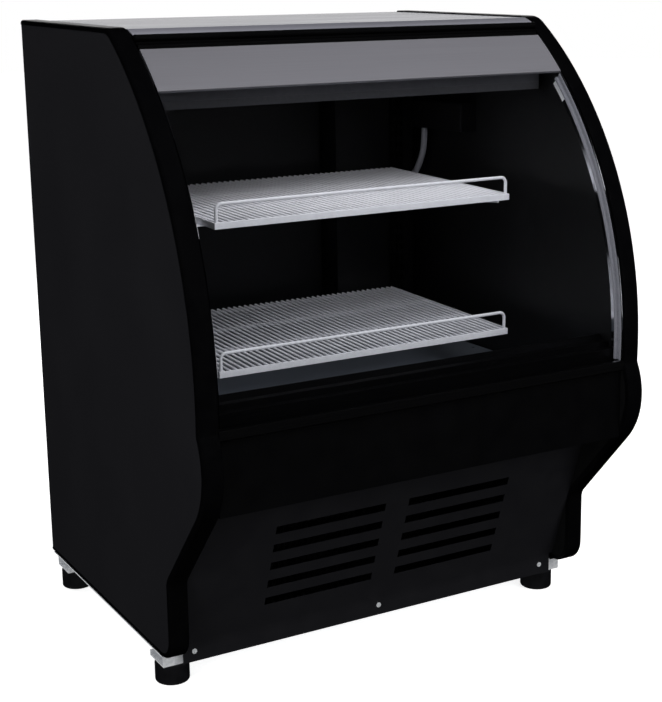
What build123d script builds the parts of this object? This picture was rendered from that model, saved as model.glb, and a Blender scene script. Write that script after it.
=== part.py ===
from build123d import *
import os
from math import asin, atan2, cos, degrees, hypot, pi, radians, sin, sqrt, tan

os.makedirs("parts", exist_ok=True)

# A refrigerated display case with a curved front glass that tilts up.
# Millimetres, X across the case, +Y to the rear, +Z up, origin on the floor below the middle.

# Overall size
WIDTH = 1000.0
DEPTH = 870.0
HEIGHT = 1295.0

# Clearances
FIT = 0.2  # between fixed pieces side by side
GAP = 0.3  # between a moving piece and its neighbour
PIN_GAP = 0.05  # around pins and shafts
OVER = 1.0  # how far a cut runs past the face it opens

# Side panels, seen from the side
SIDE_T = 40.0
SKIN = 1.5
LIP = 10.0  # visible width of the edge moulding
SKIN_SET = 1.0  # depth of the outer skin below the moulding
MOULD_OUTER_R = 7.0
MOULD_INNER_R = 3.0
PANEL_BOTTOM = 80.0
GLASS_R = 808.5
TOP_SETBACK = 384.6  # from the belly to where the glass line, carried on, meets the full height
TOP_FALL = 16.0  # side panels' tops, from the rear edge to the glass line
TOP_CORNER_R = 65.0
BELLY_R = 150.0
BELLY_Z = 510.0  # height of the foremost line
KINK_Z = 580.0  # where the glass line meets the belly
KINK_R = 10.0
INCLINE = 41.0  # degrees off vertical
TOE_SETBACK = 180.0
KNEE_R = 30.0
TOE_CORNER_R = 50.0

# Base, rails and feet
BASE_T = 3.0
BASE_MARGIN = 2.0  # side panels stand out this far over the base
NOTCH_GAP = 1.0  # base beside the kick panel's flange
BASE_FRONT_SETBACK = 230.0
BASE_REAR_SETBACK = 5.0
RAIL_H = 31.0
RAIL_D = 67.0
RAIL_T = 2.0
RAIL_LIP = 12.0
RAIL_MARGIN = 11.0
RAIL_FRONT_SETBACK = 248.0
FOOT_R = 35.0
FOOT_SIDE_IN = 45.0  # foot inside the case's side
FOOT_FRONT_IN = 37.0  # front foot behind the rail's front face
FOOT_REAR_IN = 30.0  # rear foot ahead of the rail's rear face
FOOT_RIM = 2.0
FOOT_SHOULDER = 4.0
FOOT_NECK_R = 12.0
FOOT_NECK_H = 4.0
STUD_R = 6.0
STUD_UP = 14.0
BOSS_R = 11.0
BOSS_H = 8.0

# Walls between the side panels
REAR_SET = 20.0  # rear sheet ahead of the side panels' rear edges
WALL_T = 50.0
TUB_BOTTOM = 380.0
TUB_WALL = 40.0
TUB_FRONT_T = 62.0
TUB_SLOPE_D = 83.0  # slope between the tub's floor and its front wall
TUB_SLOPE_H = 45.0
TUB_KICK_GAP = 1.0
LINER_T = 1.5
TOP_SET = 3.0  # top sheet below the side panels' tops
TOP_BEND_SETBACK = 359.0  # from the belly to the bend where the sheet dips
TOP_DROP = 29.0  # sheet's front edge below the full height
ROOF_H = 42.0  # from the ceiling's underside to the sheet's front edge
TOP_T = 2.0
TOP_FRONT_SETBACK = 335.0
TOP_HEM_T = 2.0

# Rear door
DOOR_W = 408.0  # doorway
DOOR_LOW = 520.0
DOOR_DROP = 54.0  # doorway below the ceiling
DOOR_GAP = 8.0  # around the plug in the doorway
DOOR_LAP = 26.0  # leaf over the wall on each side
DOOR_LEAF_T = 12.0
GASKET_T = 6.0
GASKET_W = 12.0
GASKET_IN = 8.0  # gasket inside the leaf's edge
DOOR_PIN_R = 3.0
DOOR_PIN_L = 12.0
HINGE_GAP = 1.5  # between a hinge plate and the leaf's edge
BRACKET_T = 3.0
BRACKET_W = 24.0
BRACKET_H = 24.0
CUP_W = 36.0
CUP_H = 120.0
CUP_DEPTH = 25.0
CUP_T = 2.0
CUP_RIM = 5.0
CUP_RIM_T = 1.4

# Front glass and its header profile
GLASS_T = 6.0
GLASS_SET = 2.5  # glass below the side panel's outline
GLASS_X_GAP = 3.0
GLASS_LOW = 586.0
HEADER_H = 76.0  # from the profile's lower edge up to the hinge line
HEADER_SET = 1.0
HEADER_T = 9.0
HEADER_GRIP = 20.0  # glass inside the profile
HINGE_DROP = 23.0  # hinge line below the top sheet's front edge
BEAD_R = 5.0
SOCKET_R = 9.0
NECK_T = 3.0
NECK_START = 10.5  # from the hinge line to the profile
NECK_SUNK = 1.0  # neck inside the profile
GLASS_OPEN = 70.0  # degrees the glass tilts up
SOCKET_SPARE = 4.0  # degrees beyond the neck's swing
EXTRUSION_D = 28.0
EXTRUSION_OUT = 1.0  # body ahead of the top sheet
RIB_R = 6.0
SLIT_REACH = 10.8  # slit's cut from the hinge line
SLIT_STEPS = 4

# Seal and trim behind the glass
SEAL_EDGE = 1.0
SEAL_LIP_START = 9.0
SEAL_GROOVE_START = 16.0
SEAL_GROOVE_END = 20.0
SEAL_END = 28.0
SEAL_BASE_T = 2.4
SEAL_LIP_T = 8.0
SEAL_HEADER_GAP = 2.0  # seal below the header profile
TRIM_W = 14.0
TRIM_T = 1.2

# Sill, belly and kick panel
BELLY_LOW = 421.0
BELLY_SET = 25.0  # belly panel behind the foremost line
BELLY_T = 1.5
SILL_LOW = 563.0
SILL_NOSE_OUT = 8.0
SILL_NOSE_RISE = 4.0
SILL_NOSE_D = 14.0
SILL_NOSE_Z = 585.0
SILL_GROOVE_D = 19.0
SILL_GROOVE_Z = 570.0
SILL_STEP_D = 17.0
SILL_STEP_LOW = 606.0
SILL_STEP_HIGH = 618.0
SILL_BACK_Z = 628.0
SILL_BACK_D = 14.0
SILL_BACK_T = 3.0
SILL_WALL = 4.0
KICK_T = 1.5
KICK_TOP_SETBACK = 125.0
KICK_FOLD_SETBACK = 235.0
KICK_FOLD_Z = 93.0
KICK_LOW = 50.0
KICK_FLANGE_IN = 8.0
SLOT_W = 250.0
SLOT_H = 19.0
SLOT_PITCH = 44.5
SLOT_ROWS = 5
SLOT_COLUMN_X = 153.0
SLOT_FIRST = 108.0  # along the slope, from the top edge to the first slot's middle
SCREW_Z = 72.0
SCREW_R = 2.5
SCREW_HEAD_R = 6.0
SCREW_HEAD_T = 2.0
SCREW_LEFT_IN = 33.0  # outer screws inside the side panels
SCREW_RIGHT_IN = 36.0

# Deck and the cold air gear below it
DECK_Z = 517.0
DECK_T = 2.0
DECK_X_GAP = 5.0
DECK_FRONT_GAP = 8.0
DECK_REAR_GAP = 5.0
DECK_HOLE_R = 4.0
DECK_HOLE_SIDE = 24.2  # drain hole from the right side panel
DECK_HOLE_REAR = 289.6  # drain hole from the rear wall
COIL_W = 620.0
COIL_D = 110.0
COIL_H = 76.0
COIL_REAR = 355.0  # coil's middle ahead of the rear wall
COIL_FINS = 20
COIL_ROWS = 2
FIN_T = 1.0
TUBE_R = 5.0
PLENUM = 20.0  # between a coil and its fan's plate
EVAP_FAN_R = 32.0
CONDENSER_W = 300.0
CONDENSER_D = 60.0
CONDENSER_H = 240.0
CONDENSER_X = -170.0
CONDENSER_IN = 95.0  # condenser's middle behind the base's front edge
CONDENSER_FINS = 22
CONDENSER_ROWS = 6
CONDENSER_FAN_R = 98.0
SHROUD_T = 1.5
FAN_CLEAR = 4.0
FAN_BLADES = 5
FAN_PIN_R = 3.0
FAN_HUB_D = 8.0
BLADE_TILT = 35.0
BLADE_T = 1.5
STRUT_W = 6.0
COMPRESSOR_R = 82.0
COMPRESSOR_H = 190.0
COMPRESSOR_X = 215.0
COMPRESSOR_IN = 265.0  # compressor's middle behind the base's front edge
POST_H = 12.0
POST_R = 9.0
FOOT_PLATE_R = 12.0
TERMINAL_W = 60.0
TERMINAL_D = 34.0
TERMINAL_SUNK = 4.0

# Air ducts, uprights, brackets and shelves
DUCT_IN = 204.0
DUCT_SIDE_GAP = 44.0
DUCT_D = 60.0
DUCT_T = 1.5
WINDOW_MARGIN = 2.5  # upright over the duct's opening on each side
UPRIGHT_SIDE = 110.0  # upright's inner edge from the side panel
UPRIGHT_W = 41.0
UPRIGHT_T = 2.0
UPRIGHT_LOW = 530.0
UPRIGHT_DROP = 34.0  # upright below the ceiling
UP_SLOT_W = 5.0
UP_SLOT_H = 14.0
UP_SLOT_PITCH = 25.0
UP_SLOT_COLUMN = 14.5
UP_SLOT_COLUMNS = 3
UP_SLOT_EDGE = 6.0  # first column from the upright's inner edge
SHELF_SIDE_GAP = 6.0  # shelf inside the uprights' inner edges
SHELF_D = 466.0
SHELF_REAR_SETBACK = 148.0
SHELF_SLOPE = 2.0
SHELF_UPPER_Z = 930.0
SHELF_LOWER_Z = 640.0
WIRE_R = 2.75
WIRE_WELD = 0.05  # wires grown by this, so that they fuse with the bands
WIRE_PITCH = 13.8
WIRE_EDGE = 12.0  # least distance from a wire to the shelf's side
BAND_W = 20.0
BAND_T = 3.0
STRIP_H = 13.0
STRIP_T = 2.0
SHELF_BANDS = 4
RAIL_WIRE_R = 3.25
RAIL_WIRE_UP = 38.0
RAIL_WIRE_BEND = 12.0
BRACKET_PLATE = 3.0
BRACKET_NOSE_H = 17.0
BRACKET_NOSE_BACK = 55.0  # bracket's nose behind the shelf's front
BRACKET_REAR_H = 62.0
BRACKET_LEDGE = 24.0
BRACKET_LEDGE_T = 2.0
BRACKET_LAP = 2.0  # plate above the ledge's top
HOOK_DEPTH = 6.0
HOOK_SIDE_GAP = 1.0

# Lamp canopy
CANOPY_SIDE_GAP = 17.0
CANOPY_SETBACK = 290.0
CANOPY_H = 83.0  # from the ceiling to the canopy's open side
CANOPY_FACE_H = 44.0
CANOPY_TOP_IN = 37.0
CANOPY_D = 150.0
CANOPY_T = 1.5
DIFFUSER_H = 15.0
DIFFUSER_T = 2.0
LAMP_R = 13.0
LAMP_END_GAP = 43.0  # lamp's end inside the canopy's end
LAMP_DROP = 42.0
HOLDER_L = 22.0
HOLDER_W = 36.0
HOLDER_GRIP = 8.0

# Wiring box and conduit on the right inner wall
BOX_D = 261.0  # along the side, from the rear wall forwards
BOX_LOW = 1020.0
BOX_H = 65.0
BOX_T = 42.0
BOX_WALL = 2.5
BOX_R = 4.0
HOSE_R = 7.75
HOSE_SIDE_IN = 20.0
GROMMET_R = 13.0
GROMMET_LIP = 2.0
GROMMET_L = 18.0

# Rear grille with the controls
GRILLE_T = 1.5
GRILLE_SLOT_W = 180.0
GRILLE_SLOT_H = 8.0
GRILLE_SLOT_PITCH = 22.0
GRILLE_SLOT_ROWS = 10
GRILLE_SLOT_Z = 205.0
GRILLE_COLUMNS = (-220.0, 20.0)
PANEL_SIDE_GAP = 30.0
PANEL_Z = 315.0
PANEL_W = 200.0
PANEL_H = 70.0
PANEL_T = 3.0
PANEL_LAP = 8.0  # panel over the grille round its window
CONTROL_PITCH = 62.0  # knob, switch and inlet beside each other
KNOB_R = 17.0
KNOB_H = 12.0
KNOB_EDGE_R = 2.0
POINTER_W = 3.0
POINTER_H = 1.0
POINTER_START = 3.0
POINTER_EDGE = 2.0
SHAFT_R = 3.0
SHAFT_L = 9.0
SWITCH_W = 14.0
SWITCH_H = 22.0
SWITCH_D = 10.0
SWITCH_DIP = 1.5
SWITCH_TILT = 8.0
SWITCH_PIN_R = 1.5
SWITCH_PIN_L = 2.0
SWITCH_WALL = 4.0
SWITCH_ROOM = 2.0  # above and below the rocker
SWITCH_BACK = 3.0  # behind the rocker
INLET_W = 28.0
INLET_H = 22.0
INLET_D = 24.0
INLET_WALL = 2.0
INLET_FLANGE = 2.0
INLET_LAP = 3.0
INLET_FLOOR = 5.0
BLADE_PLACES = ((-7.0, -2.0), (0.0, 2.0), (7.0, -2.0))
BLADE_W = 2.0
BLADE_H = 4.0
BLADE_SUNK = 1.0
BLADE_BELOW = 3.0  # blades' tips behind the panel's face

# Places worked out from the sizes above, in the side view as (y, z)
HALF = WIDTH / 2
FRONT = -DEPTH / 2
REAR = DEPTH / 2
INNER = HALF - SIDE_T
SPAN = INNER - FIT
TOP_Z = HEIGHT - TOP_DROP
CEILING_Z = TOP_Z - ROOF_H
HINGE_Z = TOP_Z - HINGE_DROP
HEADER_LOW = HINGE_Z - HEADER_H
SEAL_HIGH = HEADER_LOW - SEAL_HEADER_GAP
DOOR_HIGH = CEILING_Z - DOOR_DROP
UPRIGHT_HIGH = CEILING_Z - UPRIGHT_DROP
CANOPY_LOW = CEILING_Z - CANOPY_H
FOOT_X = HALF - FOOT_SIDE_IN
SCREW_X = (SCREW_LEFT_IN - INNER, 0.0, INNER - SCREW_RIGHT_IN)
DUCT_OUT = INNER - DUCT_SIDE_GAP
UPRIGHT_IN = INNER - UPRIGHT_SIDE
SHELF_W = 2 * (UPRIGHT_IN - SHELF_SIDE_GAP)
WIRE_COUNT = int((SHELF_W - 2 * WIRE_EDGE) / WIRE_PITCH) + 1
CANOPY_X = INNER - CANOPY_SIDE_GAP
LAMP_L = 2 * (CANOPY_X - LAMP_END_GAP)
PANEL_X = INNER - PANEL_SIDE_GAP - PANEL_W / 2
KNOB_X = PANEL_X - CONTROL_PITCH
SWITCH_X = PANEL_X
INLET_X = PANEL_X + CONTROL_PITCH
TOE_Y = FRONT + TOE_SETBACK
BELLY_C = (FRONT + BELLY_R, BELLY_Z)
KINK = (BELLY_C[0] - sqrt(BELLY_R**2 - (KINK_Z - BELLY_Z) ** 2), KINK_Z)
TOP_FRONT = (FRONT + TOP_SETBACK, HEIGHT)
BASE_Z = PANEL_BOTTOM - BASE_T
BASE_FRONT = FRONT + BASE_FRONT_SETBACK
BASE_REAR = REAR - BASE_REAR_SETBACK
RAIL_Z = BASE_Z - RAIL_H
RAIL_FRONT = FRONT + RAIL_FRONT_SETBACK
CONDENSER_Y = BASE_FRONT + CONDENSER_IN
COMPRESSOR_Y = BASE_FRONT + COMPRESSOR_IN
REAR_Y = REAR - REAR_SET
WALL_Y = REAR_Y - WALL_T
COIL_Y = WALL_Y - COIL_REAR
BOX_FRONT = WALL_Y - BOX_D
DECK_HOLE = (INNER - DECK_HOLE_SIDE, WALL_Y - DECK_HOLE_REAR)
TUB_Z = TUB_BOTTOM + TUB_WALL
BELLY_Y = FRONT + BELLY_SET
KICK_FOLD = (FRONT + KICK_FOLD_SETBACK, KICK_FOLD_Z)
KICK_TOP = (FRONT + KICK_TOP_SETBACK, BELLY_LOW)
KICK_LEAN = atan2(KICK_FOLD[0] - KICK_TOP[0], KICK_TOP[1] - KICK_FOLD[1])
TOP_FRONT_Y = FRONT + TOP_FRONT_SETBACK
TOP_BEND_Y = FRONT + TOP_BEND_SETBACK
RAIL_WIRE_X = (WIRE_COUNT - 1) / 2 * WIRE_PITCH + WIRE_R + RAIL_WIRE_R + 2 * FIT
SIDES = ((-1, "left"), (1, "right"))


def arc_centre(low, high, radius):
    """Centre, to the rear, of the arc between two points of the side view."""
    across = (high[0] - low[0], high[1] - low[1])
    chord = hypot(*across)
    away = sqrt(radius**2 - chord**2 / 4) / chord
    middle = ((low[0] + high[0]) / 2, (low[1] + high[1]) / 2)
    return (middle[0] + away * across[1], middle[1] - away * across[0])


def circles_meet(first, first_r, second, second_r):
    """The foremost point where two circles of the side view cross."""
    across = (second[0] - first[0], second[1] - first[1])
    apart = hypot(*across)
    along = (first_r**2 - second_r**2 + apart**2) / (2 * apart)
    off = sqrt(first_r**2 - along**2)
    unit = (across[0] / apart, across[1] / apart)
    foot = (first[0] + along * unit[0], first[1] + along * unit[1])
    over = (foot[0] - off * unit[1], foot[1] + off * unit[0])
    under = (foot[0] + off * unit[1], foot[1] - off * unit[0])
    return min(over, under)


GLASS_C = arc_centre(KINK, TOP_FRONT, GLASS_R)


def on_glass(inset, angle):
    """Point at a depth inside the glass line, at an angle above the arc's centre."""
    radius = GLASS_R - inset
    return (GLASS_C[0] - radius * cos(angle), GLASS_C[1] + radius * sin(angle))


def glass_angle(z, inset=0.0):
    """Angle at which the glass line, moved inwards, reaches a height."""
    return asin((z - GLASS_C[1]) / (GLASS_R - inset))


def glass_band(plane, near, far, low, high):
    """A strip along the glass line between two depths and two angles."""
    middle = (low + high) / 2
    with BuildSketch(plane) as band:
        with BuildLine():
            ThreePointArc(on_glass(near, low), on_glass(near, middle), on_glass(near, high))
            Line(on_glass(near, high), on_glass(far, high))
            ThreePointArc(on_glass(far, high), on_glass(far, middle), on_glass(far, low))
            Line(on_glass(far, low), on_glass(near, low))
        make_face()
    return band.sketch


def panel_outline(plane, inset, rear=REAR):
    """The side panel's outline, moved inwards everywhere but at the rear."""
    top = HEIGHT - inset
    bottom = PANEL_BOTTOM + inset
    toe = TOE_Y + inset
    glass_r = GLASS_R - inset
    belly_r = BELLY_R - inset
    lean = radians(INCLINE)
    kink = circles_meet(GLASS_C, glass_r, BELLY_C, belly_r)
    glass_low = asin((kink[1] - GLASS_C[1]) / glass_r)
    glass_high = asin((top - TOP_FALL - GLASS_C[1]) / glass_r)
    corner = on_glass(inset, glass_high)
    belly_high = asin((kink[1] - BELLY_C[1]) / belly_r)
    belly_mid = (belly_high - lean) / 2
    tangent = (BELLY_C[0] - belly_r * cos(lean), BELLY_C[1] - belly_r * sin(lean))
    bulge = (BELLY_C[0] - belly_r * cos(belly_mid), BELLY_C[1] + belly_r * sin(belly_mid))
    knee = (toe, tangent[1] - (toe - tangent[0]) / tan(lean))
    rounds = (
        (corner, max(TOP_CORNER_R - inset, MOULD_INNER_R)),
        (kink, KINK_R + inset),
        (knee, KNEE_R + inset),
        ((toe, bottom), max(TOE_CORNER_R - inset, MOULD_INNER_R)),
    )
    with BuildSketch(plane) as outline:
        with BuildLine():
            Line((rear, top), corner)
            ThreePointArc(corner, on_glass(inset, (glass_low + glass_high) / 2), kink)
            ThreePointArc(kink, bulge, tangent)
            Line(tangent, knee)
            Line(knee, (toe, bottom))
            Line((toe, bottom), (rear, bottom))
            Line((rear, bottom), (rear, top))
        make_face()
        for point, radius in rounds:
            fillet(outline.vertices().sort_by_distance(Vector(*point))[0], radius)
    return outline.sketch


def side_sheet(points, x=0.0):
    """A closed outline in the side view, at a place across the case."""
    with BuildSketch(Plane.YZ.offset(x)) as sheet:
        with BuildLine():
            Polyline(*points, close=True)
        make_face()
    return sheet.sketch


def block(low, high):
    """A plain box between two opposite corners."""
    size = [high[i] - low[i] for i in range(3)]
    middle = Vector(*[(low[i] + high[i]) / 2 for i in range(3)])
    with BuildPart() as box:
        with Locations(middle):
            Box(*size)
    return box.part


# Base pan: one galvanised sheet that the side panels stand on, notched behind the kick panel
KICK_FLANGE_X = SPAN - KICK_FLANGE_IN
with BuildPart() as base_pan:
    add(block((-HALF + BASE_MARGIN, BASE_FRONT, BASE_Z), (HALF - BASE_MARGIN, BASE_REAR, PANEL_BOTTOM)))
    notch_x = KICK_FLANGE_X + NOTCH_GAP
    notch_y = KICK_FOLD[0] + KICK_T + FIT
    add(
        block(
            (-notch_x, BASE_FRONT - OVER, BASE_Z - OVER), (notch_x, notch_y, PANEL_BOTTOM + OVER)
        ),
        mode=Mode.SUBTRACT,
    )
base_pan.part.label = "base_pan"
export_step(base_pan.part, "parts/base_pan.step")


# Cross rails: folded channels, open to the middle, with a threaded boss over each foot
RAILS = (
    ("front", RAIL_FRONT, 1, RAIL_FRONT + FOOT_FRONT_IN),
    ("rear", BASE_REAR, -1, BASE_REAR - FOOT_REAR_IN),
)
RAIL_X = HALF - RAIL_MARGIN
for word, face_y, inward, foot_y in RAILS:
    back_y = face_y + inward * RAIL_D
    web_y = face_y + inward * RAIL_T
    lip_y = back_y - inward * RAIL_T
    channel = (
        (face_y, RAIL_Z),
        (back_y, RAIL_Z),
        (back_y, RAIL_Z + RAIL_LIP),
        (lip_y, RAIL_Z + RAIL_LIP),
        (lip_y, RAIL_Z + RAIL_T),
        (web_y, RAIL_Z + RAIL_T),
        (web_y, BASE_Z - RAIL_T),
        (lip_y, BASE_Z - RAIL_T),
        (lip_y, BASE_Z - RAIL_LIP),
        (back_y, BASE_Z - RAIL_LIP),
        (back_y, BASE_Z),
        (face_y, BASE_Z),
    )
    with BuildPart() as rail:
        extrude(side_sheet(channel), amount=RAIL_X, both=True)
        with BuildSketch(Plane.XY.offset(RAIL_Z + RAIL_T)):
            with Locations((-FOOT_X, foot_y), (FOOT_X, foot_y)):
                Circle(BOSS_R)
        extrude(amount=BOSS_H)
        with BuildSketch(Plane.XY.offset(RAIL_Z)):
            with Locations((-FOOT_X, foot_y), (FOOT_X, foot_y)):
                Circle(STUD_R + PIN_GAP)
        extrude(amount=RAIL_T + BOSS_H, mode=Mode.SUBTRACT)
        if word == "front":
            with BuildSketch(Plane.XZ.offset(-face_y)):
                with Locations(*[(x, SCREW_Z) for x in SCREW_X]):
                    Circle(SCREW_R + PIN_GAP)
            extrude(amount=-RAIL_T, mode=Mode.SUBTRACT)
    rail.part.label = f"{word}_cross_rail"
    export_step(rail.part, f"parts/{word}_cross_rail.step")


# Levelling feet: a round pad and a threaded stud that turns in the rail's boss
FOOT_TOP = RAIL_Z - GAP
for word, face_y, inward, foot_y in RAILS:
    for side, hand in SIDES:
        with BuildPart() as foot:
            with BuildSketch(Plane((side * FOOT_X, foot_y, 0), x_dir=(1, 0, 0), z_dir=(0, -1, 0))):
                with BuildLine():
                    Polyline(
                        (0, 0),
                        (FOOT_R - FOOT_RIM, 0),
                        (FOOT_R, FOOT_RIM),
                        (FOOT_R, FOOT_TOP - FOOT_NECK_H - FOOT_SHOULDER),
                        (FOOT_R - FOOT_SHOULDER, FOOT_TOP - FOOT_NECK_H),
                        (FOOT_NECK_R, FOOT_TOP - FOOT_NECK_H),
                        (FOOT_NECK_R, FOOT_TOP),
                        (STUD_R, FOOT_TOP),
                        (STUD_R, FOOT_TOP + STUD_UP),
                        (0, FOOT_TOP + STUD_UP),
                        close=True,
                    )
                make_face()
            revolve(axis=Axis((side * FOOT_X, foot_y, 0), (0, 0, 1)))
        foot.part.label = f"foot_{word}_{hand}"
        export_step(foot.part, f"parts/foot_{word}_{hand}.step")


# Side panels: a moulding round the edge, steel skins and a foam core between them
OUTER_SKIN_IN = HALF - SKIN_SET - SKIN
for side, word in SIDES:
    start = INNER if side > 0 else -HALF
    with BuildPart() as moulding:
        extrude(panel_outline(Plane.YZ.offset(start), 0), amount=SIDE_T)
        outer_face = moulding.faces().sort_by(Axis.X)[-1 if side > 0 else 0]
        inner_face = moulding.faces().sort_by(Axis.X)[0 if side > 0 else -1]
        fillet(outer_face.edges().filter_by(lambda edge: edge.center().Y < REAR - FIT), MOULD_OUTER_R)
        inner_face = moulding.faces().filter_by(Axis.X).sort_by(Axis.X)[0 if side > 0 else -1]
        fillet(inner_face.edges().filter_by(lambda edge: edge.center().Y < REAR - FIT), MOULD_INNER_R)
        extrude(
            panel_outline(Plane.YZ.offset(start), LIP, REAR + OVER),
            amount=SIDE_T,
            mode=Mode.SUBTRACT,
        )
    moulding.part.label = f"{word}_edge_moulding"
    export_step(moulding.part, f"parts/{word}_edge_moulding.step")

    with BuildPart() as outer_skin:
        skin_x = OUTER_SKIN_IN if side > 0 else -OUTER_SKIN_IN - SKIN
        extrude(panel_outline(Plane.YZ.offset(skin_x), LIP + FIT), amount=SKIN)
    outer_skin.part.label = f"{word}_outer_skin"
    export_step(outer_skin.part, f"parts/{word}_outer_skin.step")

with BuildPart() as side_inner_skins:
    extrude(panel_outline(Plane.YZ.offset(INNER), LIP + FIT), amount=SKIN)
    extrude(panel_outline(Plane.YZ.offset(-INNER - SKIN), LIP + FIT), amount=SKIN)
side_inner_skins.part.label = "side_inner_skins"
export_step(side_inner_skins.part, "parts/side_inner_skins.step")

CORE_T = OUTER_SKIN_IN - INNER - SKIN
with BuildPart() as side_foam_cores:
    extrude(panel_outline(Plane.YZ.offset(INNER + SKIN), LIP + FIT), amount=CORE_T)
    extrude(panel_outline(Plane.YZ.offset(-OUTER_SKIN_IN), LIP + FIT), amount=CORE_T)
side_foam_cores.part.label = "side_foam_cores"
export_step(side_foam_cores.part, "parts/side_foam_cores.step")


# Seals: a base strip with two lips that the ends of the glass rest on
SEAL_FROM = glass_angle(SILL_NOSE_Z + SEAL_EDGE)
SEAL_TO = glass_angle(SEAL_HIGH)
TRIM_FROM = glass_angle(SILL_STEP_LOW + SEAL_EDGE)
with BuildPart() as glass_seals:
    for side, word in SIDES:
        strip_x = INNER - SEAL_BASE_T if side > 0 else -INNER
        lip_x = INNER - SEAL_LIP_T if side > 0 else -INNER
        strip = Plane.YZ.offset(strip_x)
        lip = Plane.YZ.offset(lip_x)
        extrude(glass_band(strip, SEAL_EDGE, SEAL_END, SEAL_FROM, SEAL_TO), amount=SEAL_BASE_T)
        extrude(
            glass_band(lip, SEAL_LIP_START, SEAL_GROOVE_START, SEAL_FROM, SEAL_TO),
            amount=SEAL_LIP_T,
        )
        extrude(
            glass_band(lip, SEAL_GROOVE_END, SEAL_END, SEAL_FROM, SEAL_TO),
            amount=SEAL_LIP_T,
        )
glass_seals.part.label = "glass_seals"
export_step(glass_seals.part, "parts/glass_seals.step")

with BuildPart() as bright_trims:
    for trim_x in (INNER - TRIM_T, -INNER):
        trim = Plane.YZ.offset(trim_x)
        trim_start = SEAL_END + FIT
        extrude(glass_band(trim, trim_start, trim_start + TRIM_W, TRIM_FROM, SEAL_TO), amount=TRIM_T)
bright_trims.part.label = "bright_trims"
export_step(bright_trims.part, "parts/bright_trims.step")


# Top: painted sheet that falls to the front like the side panels, dips ahead of its bend
# and has a hem at the rear, foam slab and ceiling liner
SLAB_FRONT = TOP_FRONT_Y + EXTRUSION_D
SLAB_LOW = CEILING_Z + LINER_T
TOP_SLOPE = TOP_FALL / (REAR - on_glass(0, glass_angle(HEIGHT - TOP_FALL))[0])


def sheet_point(y, below=0.0):
    """Point on the top sheet behind its bend, or straight below its upper face."""
    return (y, HEIGHT - TOP_SET - (REAR - y) * TOP_SLOPE - below)


top_points = (
    (TOP_FRONT_Y, TOP_Z),
    sheet_point(TOP_BEND_Y),
    sheet_point(REAR),
    (REAR, SLAB_LOW),
    (REAR - TOP_HEM_T, SLAB_LOW),
    sheet_point(REAR - TOP_HEM_T, TOP_T),
    sheet_point(TOP_BEND_Y, TOP_T),
    (TOP_FRONT_Y, TOP_Z - TOP_T),
)
with BuildPart() as top_panel:
    extrude(side_sheet(top_points), amount=SPAN, both=True)
top_panel.part.label = "top_panel"
export_step(top_panel.part, "parts/top_panel.step")

slab_points = (
    (SLAB_FRONT, SLAB_LOW),
    sheet_point(SLAB_FRONT, TOP_T),
    sheet_point(REAR - TOP_HEM_T, TOP_T),
    (REAR - TOP_HEM_T, SLAB_LOW),
)
with BuildPart() as top_foam:
    extrude(side_sheet(slab_points), amount=SPAN, both=True)
top_foam.part.label = "top_foam"
export_step(top_foam.part, "parts/top_foam.step")

with BuildPart() as ceiling_liner:
    add(block((-SPAN, TOP_FRONT_Y, CEILING_Z), (SPAN, WALL_Y, SLAB_LOW)))
ceiling_liner.part.label = "ceiling_liner"
export_step(ceiling_liner.part, "parts/ceiling_liner.step")


# Top front extrusion: carries the glass in an open socket along its whole length
HINGE_INSET = GLASS_SET + GLASS_T / 2
HINGE_ANGLE = glass_angle(HINGE_Z, HINGE_INSET)
HINGE = on_glass(HINGE_INSET, HINGE_ANGLE)
SLIT = degrees(asin(NECK_T / 2 / BEAD_R)) + SOCKET_SPARE
NECK_REST = 270 - degrees(HINGE_ANGLE)
SLIT_FROM = NECK_REST - GLASS_OPEN - SLIT
SLIT_TO = NECK_REST + SLIT


def slit_points(reach):
    """A pie slice from the hinge line that leaves room for the neck as it swings."""
    rim = [SLIT_FROM + (SLIT_TO - SLIT_FROM) * i / SLIT_STEPS for i in range(SLIT_STEPS + 1)]
    return [HINGE] + [
        (HINGE[0] + reach * cos(radians(a)), HINGE[1] + reach * sin(radians(a))) for a in rim
    ]


with BuildPart() as top_front_extrusion:
    with BuildSketch(Plane.YZ) as section:
        with Locations(HINGE):
            Circle(SOCKET_R)
        with BuildLine():
            Polyline(
                (HINGE[0], HINGE[1] - BEAD_R),
                (TOP_FRONT_Y, HINGE[1] - BEAD_R),
                (TOP_FRONT_Y, HINGE[1] + BEAD_R),
                (HINGE[0], HINGE[1] + BEAD_R),
                close=True,
            )
        make_face()
        with BuildLine():
            Polyline(
                (TOP_FRONT_Y - EXTRUSION_OUT, SLAB_LOW),
                (SLAB_FRONT - FIT, SLAB_LOW),
                sheet_point(SLAB_FRONT - FIT, TOP_T),
                sheet_point(TOP_BEND_Y, TOP_T),
                (TOP_FRONT_Y, TOP_Z - TOP_T),
                (TOP_FRONT_Y - EXTRUSION_OUT, TOP_Z - TOP_T),
                close=True,
            )
        make_face()
        with Locations((TOP_FRONT_Y - RIB_R - FIT, TOP_Z - RIB_R)):
            Circle(RIB_R)
        with BuildLine():
            Polyline(
                (TOP_FRONT_Y - RIB_R - FIT, TOP_Z - TOP_T - RIB_R),
                (TOP_FRONT_Y, TOP_Z - TOP_T - RIB_R),
                (TOP_FRONT_Y, TOP_Z - TOP_T),
                (TOP_FRONT_Y - RIB_R - FIT, TOP_Z - TOP_T),
                close=True,
            )
        make_face()
        with Locations(HINGE):
            Circle(BEAD_R + PIN_GAP, mode=Mode.SUBTRACT)
        with BuildLine():
            Polyline(*slit_points(SLIT_REACH), close=True)
        make_face(mode=Mode.SUBTRACT)
    extrude(section.sketch, amount=SPAN, both=True)
top_front_extrusion.part.label = "top_front_extrusion"
export_step(top_front_extrusion.part, "parts/top_front_extrusion.step")


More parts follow.
